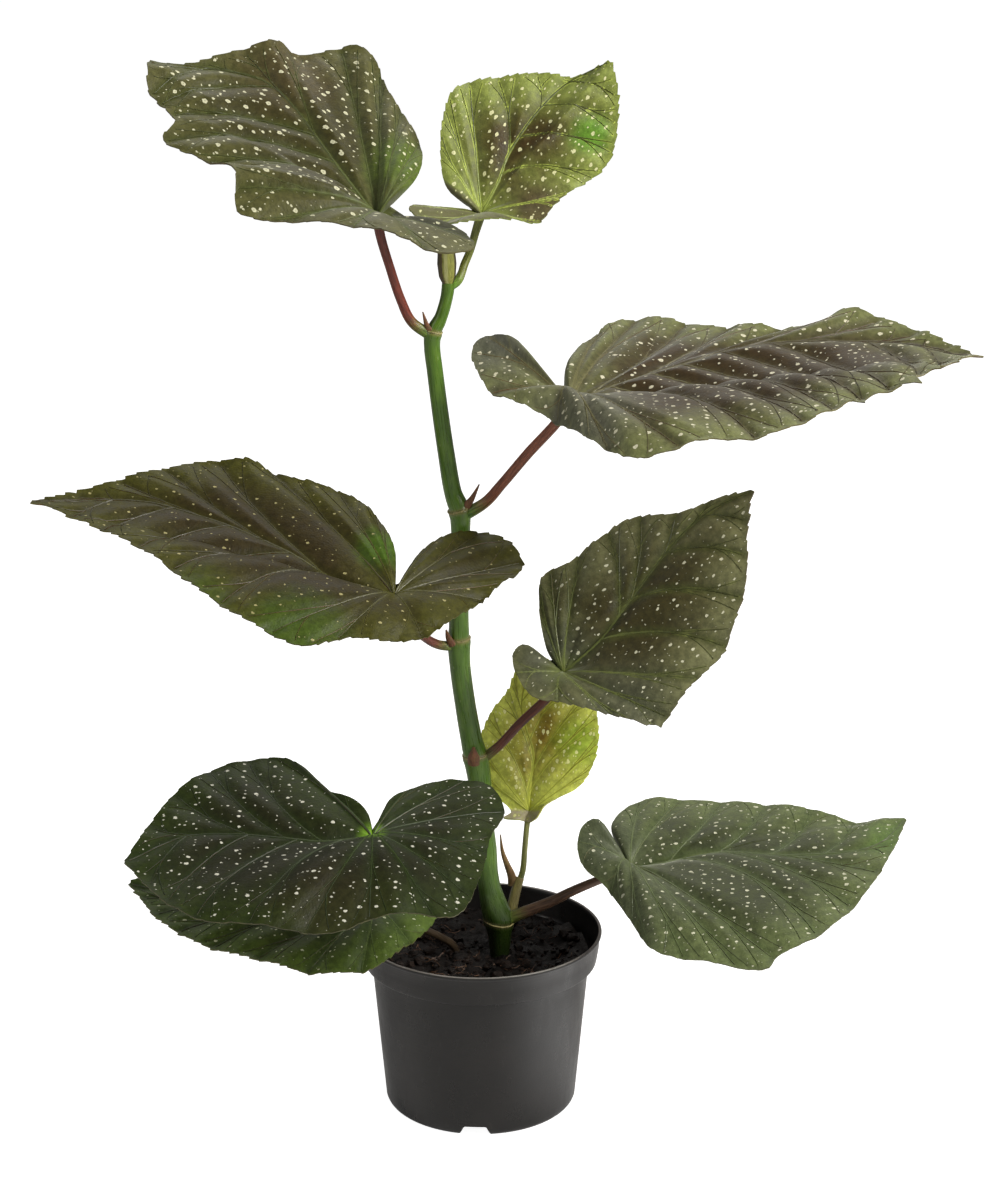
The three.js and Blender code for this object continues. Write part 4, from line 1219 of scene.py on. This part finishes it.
def tip_skin():
    """The growing tip: pale olive sheaths with dark edges, painted shade down one side and a painted
    highlight streak down the middle.
    """
    finish = Finish("tip_skin", Specular_IOR_Level=0.5)
    olive, light_olive, painted_side_shade, painted_streak_highlight, dark = map(tint, TIP_TINTS_AND_PAINTED_LIGHT)
    place = finish.attribute("ring_place", "Vector")
    streak = finish.noise(finish.stretch(place, (2.2, 2.2, 0.2)), 1, 4, 0.6)
    wander = finish.plus(finish.attribute("flank"), finish.times(streak, 0.22))
    colour = finish.mottled(streak, 0.3, 0.7, olive, light_olive)
    # Painted shade down one side of the tip
    colour = finish.mottled(wander, -0.42, -0.3, painted_side_shade, colour)
    # Painted highlight: a light streak down the middle
    pale = finish.times(finish.span(wander, -0.3, -0.12), finish.span(wander, 0.1, 0.3, 1, 0))
    colour = finish.mix(finish.times(pale, 0.5), colour, painted_streak_highlight)
    # Darker at both edges
    colour = finish.mottled(wander, 0.86, 0.98, colour, dark)
    finish.colour(finish.mix(finish.span(wander, -0.8, -0.66, 1, 0), colour, dark))
    finish.roughness(finish.span(streak, 0.2, 0.8, 0.34, 0.5))
    finish.bump(streak, 0.0005, 0.7)
    return finish.material


def dry_skin(name, dark, light, green=None, green_share=0):
    """Dry or papery tissue: scars, stipules, bracts and fibres, streaked from base to point."""
    finish = Finish(name)
    place = finish.object_place((900, 900, 260))
    streak = finish.noise(place, 1, 4, 0.65)
    speck = finish.noise(place, 3.1, 3, 0.6)
    colour = finish.mottled(streak, 0.32, 0.66, tint(dark), tint(light))
    if green:
        colour = finish.mix(finish.span(speck, 0.35, 0.65, 0, green_share), colour, tint(green))
    finish.colour(colour)
    finish.roughness(finish.span(speck, 0.2, 0.8, 0.45, 0.65))
    finish.bump(streak, 0.0003, 0.7)
    return finish.material


def pot_plastic():
    """Moulded plastic: dark, satin, with a fine grain, faint turning lines, dusty scuffs and a
    painted highlight round the lip.
    """
    finish = Finish("pot_plastic", Specular_IOR_Level=0.55)
    black, dark_grey, dusty, lip_highlight = map(tint, PLASTIC_TINTS_AND_HIGHLIGHT)
    place = finish.object_place((1000, 1000, 1000))
    grain = finish.noise(place, 1.1, 4, 0.6)
    lines = finish.noise(finish.stretch(place, (0.02, 0.02, 1.4)), 1, 3, 0.5)
    scuff = finish.noise(finish.stretch(place, (0.16, 0.16, 0.05)), 1, 5, 0.7)
    dust = finish.noise(place, 0.035, 4, 0.6)
    colour = finish.mottled(dust, 0.3, 0.7, black, dark_grey)
    colour = finish.mix(finish.span(scuff, 0.6, 0.78, 0, 0.2), colour, dusty)
    height = finish.node("SeparateXYZ", "Z", Vector=place)
    # Painted highlight: the top of the lip is coloured lighter all round, as if it caught the light
    lip = finish.span(height, POT_HEIGHT - 0.5, POT_HEIGHT - 0.1, 0, 0.6)
    finish.colour(finish.mix(lip, colour, lip_highlight))
    finish.roughness(finish.span(scuff, 0.3, 0.75, 0.26, 0.4))
    finish.bump(grain, 0.00008, 0.35)
    finish.bump(lines, 0.0002, 0.3)
    return finish.material


def soil_finish(name, dark, light, wet_roughness):
    """Damp potting soil: nearly black, crumbly, glossy where it is wet."""
    finish = Finish(name, Specular_IOR_Level=0.22)
    place = finish.object_place((1000, 1000, 1000))
    clump = finish.noise(place, 0.22, 5, 0.7)
    grit = finish.noise(place, 0.9, 4, 0.7)
    wet = finish.noise(place, 0.08, 3, 0.5)
    colour = finish.mottled(clump, 0.34, 0.66, tint(dark), tint(light))
    finish.colour(finish.mix(finish.span(grit, 0.62, 0.8, 0, 0.4), colour, tint(GRIT_TINT)))
    finish.roughness(finish.span(wet, 0.35, 0.65, wet_roughness, 0.85))
    finish.bump(grit, 0.0009, 0.8)
    finish.bump(clump, 0.0015, 0.6)
    return finish.material


# Pot and soil

def cut(piece, cutters):
    """Takes the cutters out of a piece."""
    for cutter in cutters:
        hole = piece.modifiers.new("cut", "BOOLEAN")
        hole.operation = "DIFFERENCE"
        hole.solver = "EXACT"
        hole.object = cutter
        apply_modifier(piece, hole)
        bpy.data.objects.remove(cutter, do_unlink=True)


def wall_radius(z):
    """The body's outer radius at a height."""
    share = z / (POT_HEIGHT - COLLAR_HEIGHT)
    return BODY_BASE_RADIUS + (BODY_TOP_RADIUS - BODY_BASE_RADIUS) * share


def pot_profile():
    """The pot's wall, from under the floor, up the outside, over the rim and down the inside."""
    collar = POT_HEIGHT - COLLAR_HEIGHT
    floor = FOOT_CHANNEL_HEIGHT + POT_WALL
    inner_top = BODY_TOP_RADIUS - POT_WALL
    inner_collar = COLLAR_LOWER_RADIUS - POT_WALL
    middle = (COLLAR_LOWER_RADIUS + RIM_RADIUS) / 2
    channel = [
        [10, 0], [FOOT_CHANNEL_INNER - 2, 0], [FOOT_CHANNEL_INNER - 1.4, 0.3],
        [FOOT_CHANNEL_INNER - 0.4, FOOT_CHANNEL_HEIGHT - 0.4],
        [FOOT_CHANNEL_INNER + 0.2, FOOT_CHANNEL_HEIGHT],
        [FOOT_CHANNEL_OUTER - 0.2, FOOT_CHANNEL_HEIGHT],
        [FOOT_CHANNEL_OUTER + 0.2, FOOT_CHANNEL_HEIGHT - 0.4],
        [FOOT_CHANNEL_OUTER + 0.9, 0.3], [FOOT_CHANNEL_OUTER + 1.4, 0],
    ]
    foot = [*FOOT_EDGE, [wall_radius(FOOT_ROUNDING), FOOT_ROUNDING]]
    body = [[wall_radius(z), z] for z in np.linspace(2 * FOOT_ROUNDING, collar - 1.4, 14)]
    step = [
        [BODY_TOP_RADIUS, collar - 0.9], [BODY_TOP_RADIUS + 0.4, collar - 0.4],
        [BODY_TOP_RADIUS + 0.9, collar - 0.15], [COLLAR_LOWER_RADIUS - 0.8, collar - 0.1],
        [COLLAR_LOWER_RADIUS - 0.3, collar + 0.1], [COLLAR_LOWER_RADIUS, collar + 0.5],
        [COLLAR_LOWER_RADIUS + 0.15, collar + 1.2], [middle - 0.1, collar + 7],
    ]
    # The rim's round lip, as distances in from its radius and down from its top
    lip = [[RIM_RADIUS - inward, POT_HEIGHT - down] for inward, down in (
        (0.75, 2.3), (0.45, 1.9), (0.1, 1.4), (0, 0.9), (0.1, 0.4), (0.45, 0.08), (0.9, 0),
        (1.4, 0.15), (1.7, 0.6), (2, 2))]
    inside = [
        [inner_collar + 0.3, collar + 3], [inner_collar - 0.4, collar + 1.4],
        [inner_top + 0.5, collar - 0.6], [inner_top, collar - 2],
        [wall_radius(40) - POT_WALL, 40], [wall_radius(floor + 3) - POT_WALL, floor + 3],
        [wall_radius(floor + 1) - POT_WALL - 0.5, floor + 1],
        [wall_radius(floor) - POT_WALL - 2, floor], [10, floor],
    ]
    return channel + foot + body + step + lip + inside


def foot_notch(angle):
    """A cutter for a notch under the foot: narrower upwards, its roof rising outwards."""
    notch = add(bpy.ops.mesh.primitive_cube_add, "foot_notch", size=2)
    room = []
    for x, y, z in corners(notch):
        far = (BODY_BASE_RADIUS + FOOT_CHANNEL_OUTER) / 2 + x * NOTCH_REACH
        roof = FOOT_CHANNEL_HEIGHT + NOTCH_RISE * (far - FOOT_CHANNEL_OUTER)
        height = roof if z > 0 else -FOOT_ROUNDING
        side = y * (NOTCH_WIDTH - NOTCH_TAPER * height) / 2
        room.append([far * math.cos(angle) - side * math.sin(angle),
                     far * math.sin(angle) + side * math.cos(angle), height])
    set_corners(notch, np.array(room) * MM)
    edge = notch.modifiers.new("edge", "BEVEL")
    edge.width = NOTCH_ROUNDING * MM
    edge.segments = 3
    apply_modifier(notch, edge)
    return notch


def drain_hole(angle):
    """A cutter for a drain hole in the foot's ring channel."""
    ring = (FOOT_CHANNEL_INNER + FOOT_CHANNEL_OUTER) / 2 * MM
    floor = FOOT_CHANNEL_HEIGHT + POT_WALL
    drain = add(bpy.ops.mesh.primitive_cylinder_add, "drain_hole", vertices=DRAIN_SIDES,
                radius=DRAIN_RADIUS * MM, depth=4 * POT_WALL * MM,
                location=(ring * math.cos(angle), ring * math.sin(angle), floor * MM))
    bpy.ops.object.transform_apply(location=True, rotation=True, scale=True)
    return drain


def make_pot():
    """The pot, turned, with its notches and drain holes cut out."""
    pot = turned("nursery_pot", pot_profile(), POT_SIDES)
    turn = math.radians(NOTCH_TURN)
    cutters = [foot_notch(-math.pi / 2 + turn + 2 * math.pi * i / NOTCH_COUNT)
               for i in range(NOTCH_COUNT)]
    cutters += [drain_hole(2 * math.pi * i / DRAIN_COUNT) for i in range(DRAIN_COUNT)]
    cut(pot, cutters)
    smooth_shading(pot, 32)
    dress(pot, pot_plastic())
    finish_piece(pot, "pot")


def rough_ground(x, y):
    """The soil's height over its mean at a place, in millimetres."""
    lumps = noise.turbulence(Vector((x * LUMP_PITCH, y * LUMP_PITCH, SOIL_SEED)), 3, False)
    grains = noise.noise(Vector((x * GRAIN_PITCH, y * GRAIN_PITCH, SOIL_SEED + 11)))
    bank = BANK_HEIGHT * max(0, math.hypot(x, y) / SOIL_EDGE - BANK_START) / BANK_WIDTH
    return LUMP_HEIGHT * (lumps - 0.55) + GRAIN_HEIGHT * grains + bank


def make_soil():
    """The soil as a turned plug, its upper face rough."""
    floor = FOOT_CHANNEL_HEIGHT + POT_WALL + SOIL_GAP
    edge = wall_radius(SOIL_HEIGHT - 4) + SOIL_GAP
    wall = POT_WALL + SOIL_GAP
    rows = [[6, floor], [wall_radius(floor) - SOIL_FOOT_INSET, floor]]
    rows += [[wall_radius(z) - wall, z] for z in (floor + 3, 40, 70)]
    rows.append([edge, SOIL_HEIGHT - SOIL_EDGE_DROP])
    rows += [[r, SOIL_HEIGHT] for r in np.linspace(edge - 0.7, 1.2, SOIL_RINGS)]
    soil = turned("potting_soil", rows, SOIL_SIDES)
    upper = (SOIL_HEIGHT - 0.5) * MM
    points = corners(soil)
    for p in points:
        if p[2] > upper:
            p[2] += rough_ground(p[0] / MM, p[1] / MM) * MM
    set_corners(soil, points)
    smooth_shading(soil, 60)
    dress(soil, soil_finish("damp_soil", *SOIL_TINTS))
    finish_piece(soil, "soil")


def spread(chance, reach, least):
    """A place on the round of the soil by chance, from near its middle to the reach."""
    angle = chance.uniform(0, 2 * math.pi)
    far = reach * math.sqrt(chance.uniform(least, 1))
    return far * math.cos(angle), far * math.sin(angle)


def make_crumbs():
    """Clods and crumbs lying on the soil."""
    chance = random.Random(41)
    pieces = []
    for fineness, count, low, high in CRUMBS:
        model = add(bpy.ops.mesh.primitive_ico_sphere_add, "crumb_model",
                    subdivisions=fineness, radius=MM)
        for index in range(count):
            crumb = model.copy()
            crumb.data = model.data.copy()
            bpy.context.collection.objects.link(crumb)
            x, y = spread(chance, CRUMB_REACH, 0.002)
            size = chance.uniform(low, high)
            points = corners(crumb)
            for p in points:
                place = Vector(p / MM * CRUMB_PITCH) + Vector((index * 3.1, size, 0))
                p *= 1 + CRUMB_ROUGHNESS * noise.noise(place)
            turn = Matrix.Rotation(chance.uniform(0, 6), 3, "X")
            turn = turn @ Matrix.Rotation(chance.uniform(0, 6), 3, "Z")
            points = points @ np.array(turn) * size
            points[:, 2] *= CRUMB_FLATNESS
            sink = chance.uniform(*CRUMB_SINK) * size
            points += np.array([x, y, SOIL_HEIGHT + rough_ground(x, y) + sink]) * MM
            set_corners(crumb, points)
            pieces.append(crumb)
        bpy.data.objects.remove(model, do_unlink=True)
    crumbs = join(pieces)
    crumbs.name = "soil_crumbs"
    dress(crumbs, soil_finish("wet_crumbs", *CRUMB_TINTS))
    finish_piece(crumbs, "soil")


def make_fibres():
    """Root and peat fibres on the soil."""
    chance = random.Random(58)
    lines = []
    for _ in range(FIBRE_COUNT):
        x, y = spread(chance, FIBRE_REACH, 0.01)
        heading = chance.uniform(0, 2 * math.pi)
        radius = chance.uniform(*FIBRE_RADII)
        rows = []
        for k in range(FIBRE_STEPS):
            heading += chance.uniform(-FIBRE_TURN, FIBRE_TURN)
            step = chance.uniform(*FIBRE_STEP)
            x, y = x + step * math.cos(heading), y + step * math.sin(heading)
            if math.hypot(x, y) > SOIL_EDGE:
                break
            z = SOIL_HEIGHT + rough_ground(x, y) + FIBRE_LIFT + chance.uniform(*FIBRE_RISE)
            rows.append([x, y, z, radius * (1 - FIBRE_THINNING * k)])
        if len(rows) > 3:
            lines.append(rows)
    fibres = tube("soil_fibres", lines, sides=4)
    dress(fibres, dry_skin("peat_fibre", *FIBRE_TINTS))
    finish_piece(fibres, "soil")


# Cane, stalks and small parts

def ring_places(piece, line):
    """Keeps for each point its place round and along a stalk, and the share of the way along."""
    tree = KDTree(len(line))
    for i, row in enumerate(line):
        tree.insert(Vector(row[:3]), i)
    tree.balance()
    far = travelled(line)
    points = corners(piece) / MM
    places = []
    shares = []
    for p in points:
        centre, index, _ = tree.find(Vector(p))
        places.append([p[0] - centre[0], p[1] - centre[1], far[index]])
        shares.append(far[index] / far[-1])
    store(piece, "ring_place", places)
    store(piece, "share", shares)


def bulge(gap, height, place, width):
    """A soft rise of a height at a place."""
    return height * np.exp(-((gap - place) / width) ** 2)


def make_cane():
    """The cane, a little swollen under each scar and waisted above it."""
    line = stalk_line(CANE, 1.1)
    cane = tube("cane_stem", [line], sides=36)
    points = corners(cane) / MM
    scars = np.zeros(len(points))
    for x, y, z, _, lean_x, lean_y in RING_SCARS:
        slope_x, slope_y = math.tan(math.radians(lean_x)), math.tan(math.radians(lean_y))
        ring = z + (points[:, 0] - x) * slope_x + (points[:, 1] - y) * slope_y
        gap = points[:, 2] - ring
        scars = np.maximum(scars, bulge(gap, 1, 0, SCAR_WIDTH))
        swell = bulge(gap, *NODE_SWELL) + bulge(gap, *NODE_WAIST)
        for k in np.nonzero(np.abs(gap) < NODE_REACH)[0]:
            side = unit(np.array([points[k, 0] - x, points[k, 1] - y]))
            points[k, :2] += side * swell[k]
    set_corners(cane, points * MM)
    ring_places(cane, line)
    store(cane, "scar", scars)
    smooth_shading(cane, 50)
    dress(cane, cane_skin())
    finish_piece(cane, "cane")


def make_scars():
    """Thin rings round the cane at its nodes."""
    rings = []
    for x, y, z, radius, lean_x, lean_y in RING_SCARS:
        row = []
        for k in range(SCAR_STEPS + 1):
            a = 2 * math.pi * k / SCAR_STEPS
            px, py = radius * math.cos(a), radius * math.sin(a)
            pz = z + px * math.tan(math.radians(lean_x)) + py * math.tan(math.radians(lean_y))
            wobble = SCAR_WOBBLE * noise.noise(Vector((math.cos(a) * 2, math.sin(a) * 2, z)))
            row.append([x + px, y + py, pz + wobble, SCAR_RADIUS + 0.2 * wobble])
        rings.append(row)
    scars = tube("node_scars", rings, sides=8)
    dress(scars, dry_skin("node_scar", *SCAR_TINTS))
    finish_piece(scars, "cane")


def make_stalk(name, blade):
    """A leaf stalk that ends flat under its blade."""
    line = stalk_line(STALKS[name], 1.3)
    stalk = tube("stalk_" + name, [line], sides=20)
    points = corners(stalk) / MM
    for k, p in enumerate(points):
        gap = p - blade.junction
        if gap @ gap > STALK_FLAT_REACH ** 2:
            continue
        place = (gap @ blade.ahead, gap @ blade.across)
        height = blade.height_at(place)
        above = gap @ blade.out - ((height or 0) - BLADE_THICKNESS / 2 - 0.05)
        if above > 0:
            points[k] = p - above * blade.out
    set_corners(stalk, points * MM)
    ring_places(stalk, line)
    smooth_shading(stalk, 60)
    dress(stalk, stalk_skin(name, *STALK_TINTS[name]))
    finish_piece(stalk, "petiole_" + name)


def flattened(piece, centre, across, share):
    """Flattens a piece across one direction, about a point."""
    points = corners(piece) / MM
    across = unit(np.array(across, dtype=float))
    gap = (points - np.array(centre, dtype=float)) @ across
    points -= (gap * (1 - share))[:, None] * across
    set_corners(piece, points * MM)


def make_small_parts():
    """Side shoot, bract, stipules and the growing tip."""
    line = stalk_line(SIDE_SHOOT, 0.9)
    shoot = tube("young_shoot", [line], sides=20)
    ring_places(shoot, line)
    dress(shoot, stalk_skin("side_shoot", *SHOOT_TINTS))
    finish_piece(shoot, "side_shoot")

    bract = tube("shoot_bract", [stalk_line(BRACT, 0.8)], sides=16)
    flattened(bract, BRACT[1][:3], (0.3, 1, 0), 0.55)
    dress(bract, dry_skin("bract_skin", *BRACT_TINTS))
    finish_piece(bract, "bract")

    for name, rows in STIPULES.items():
        scale = tube("scale_" + name.split("_")[1], [stalk_line(rows, 0.6)], sides=16)
        flattened(scale, rows[1][:3], (0.1, 1, 0.15), 0.6)
        dress(scale, dry_skin("skin_of_" + name, *STIPULE_TINTS))
        finish_piece(scale, name)

    line = stalk_line(BUD, 0.6)
    bud = tube("growing_tip", [line], sides=24)
    flattened(bud, BUD[1][:3], (0.1, 1, 0), 0.75)
    ring_places(bud, line)
    points = corners(bud) / MM
    wide = np.interp(points[:, 2], line[:, 2], line[:, 3])
    store(bud, "flank", (points[:, 0] - np.interp(points[:, 2], line[:, 2], line[:, 0])) / wide)
    dress(bud, tip_skin())
    finish_piece(bud, "bud")


# Light, floor and camera

def make_floor():
    """The paper under the pot: white to the camera, glowing dimly as painted light elsewhere, and
    more in a painted pool of light beside the pot.
    """
    floor = add(bpy.ops.mesh.primitive_plane_add, "studio_floor", size=PAPER_SIZE)
    finish = Finish("studio_paper", Roughness=0.9, Specular_IOR_Level=0.1,
                    Emission_Color=(1, 1, 1, 1))
    place = finish.object_place((1, 1, 1))
    away = finish.distance(place, POOL_PLACE)
    # Painted light: the paper glows, and glows more in the pool beside the pot
    lit = finish.span(away, POOL_START, POOL_RADIUS, POOL_LIGHT, PAPER_LIGHT)
    seen = finish.node("LightPath", "Is Camera Ray")
    strength = finish.span(seen, 0, 1, lit, PAPER_WHITE)
    finish.feed(finish.shader.inputs["Emission Strength"], strength)
    grain = finish.noise(place, 60)
    dark, light = ((shade, shade, shade, 1) for shade in PAPER_SHADES)
    finish.colour(finish.mottled(grain, 0.3, 0.7, dark, light))
    dress(floor, finish.material)


def make_lights():
    """White all round for the camera, a dim room for the plant, and the softboxes."""
    world = bpy.data.worlds.new("studio_white")
    bpy.context.scene.world = world
    world.use_nodes = True
    tree = world.node_tree
    sky = tree.nodes["Background"]
    sky.inputs["Color"].default_value = (1, 1, 1, 1)
    seen = tree.nodes.new("ShaderNodeLightPath")
    level = tree.nodes.new("ShaderNodeMapRange")
    level.inputs["To Min"].default_value = ROOM_LIGHT
    level.inputs["To Max"].default_value = 1
    tree.links.new(seen.outputs["Is Camera Ray"], level.inputs["Value"])
    tree.links.new(level.outputs["Result"], sky.inputs["Strength"])
    for name, (place, target, size, power) in SOFTBOXES.items():
        light = add(bpy.ops.object.light_add, name, type="AREA", location=place)
        light.data.shape = "RECTANGLE"
        light.data.size, light.data.size_y = size
        light.data.energy = power
        light.data.color = SOFTBOX_COLOUR
        facing = Vector(target) - Vector(place)
        light.rotation_euler = facing.to_track_quat("-Z", "Y").to_euler()
    bpy.context.scene.view_settings.view_transform = "Standard"


def make_camera():
    """The camera at the picture's angle."""
    camera = add(bpy.ops.object.camera_add, "photo_camera", location=CAMERA_PLACE,
                 rotation=(math.radians(90 - CAMERA_FALL), 0, 0))
    camera.data.lens = CAMERA_LENS
    camera.data.sensor_width = CAMERA_FRAME
    bpy.context.scene.camera = camera


make_floor()
make_lights()
make_camera()
make_pot()
make_soil()
make_crumbs()
make_fibres()
make_cane()
make_scars()
for number, leaf_name in enumerate(LEAVES):
    leaf_blade = Blade(leaf_name, number + 1)
    leaf_blade.make()
    make_stalk(leaf_name, leaf_blade)
make_small_parts()
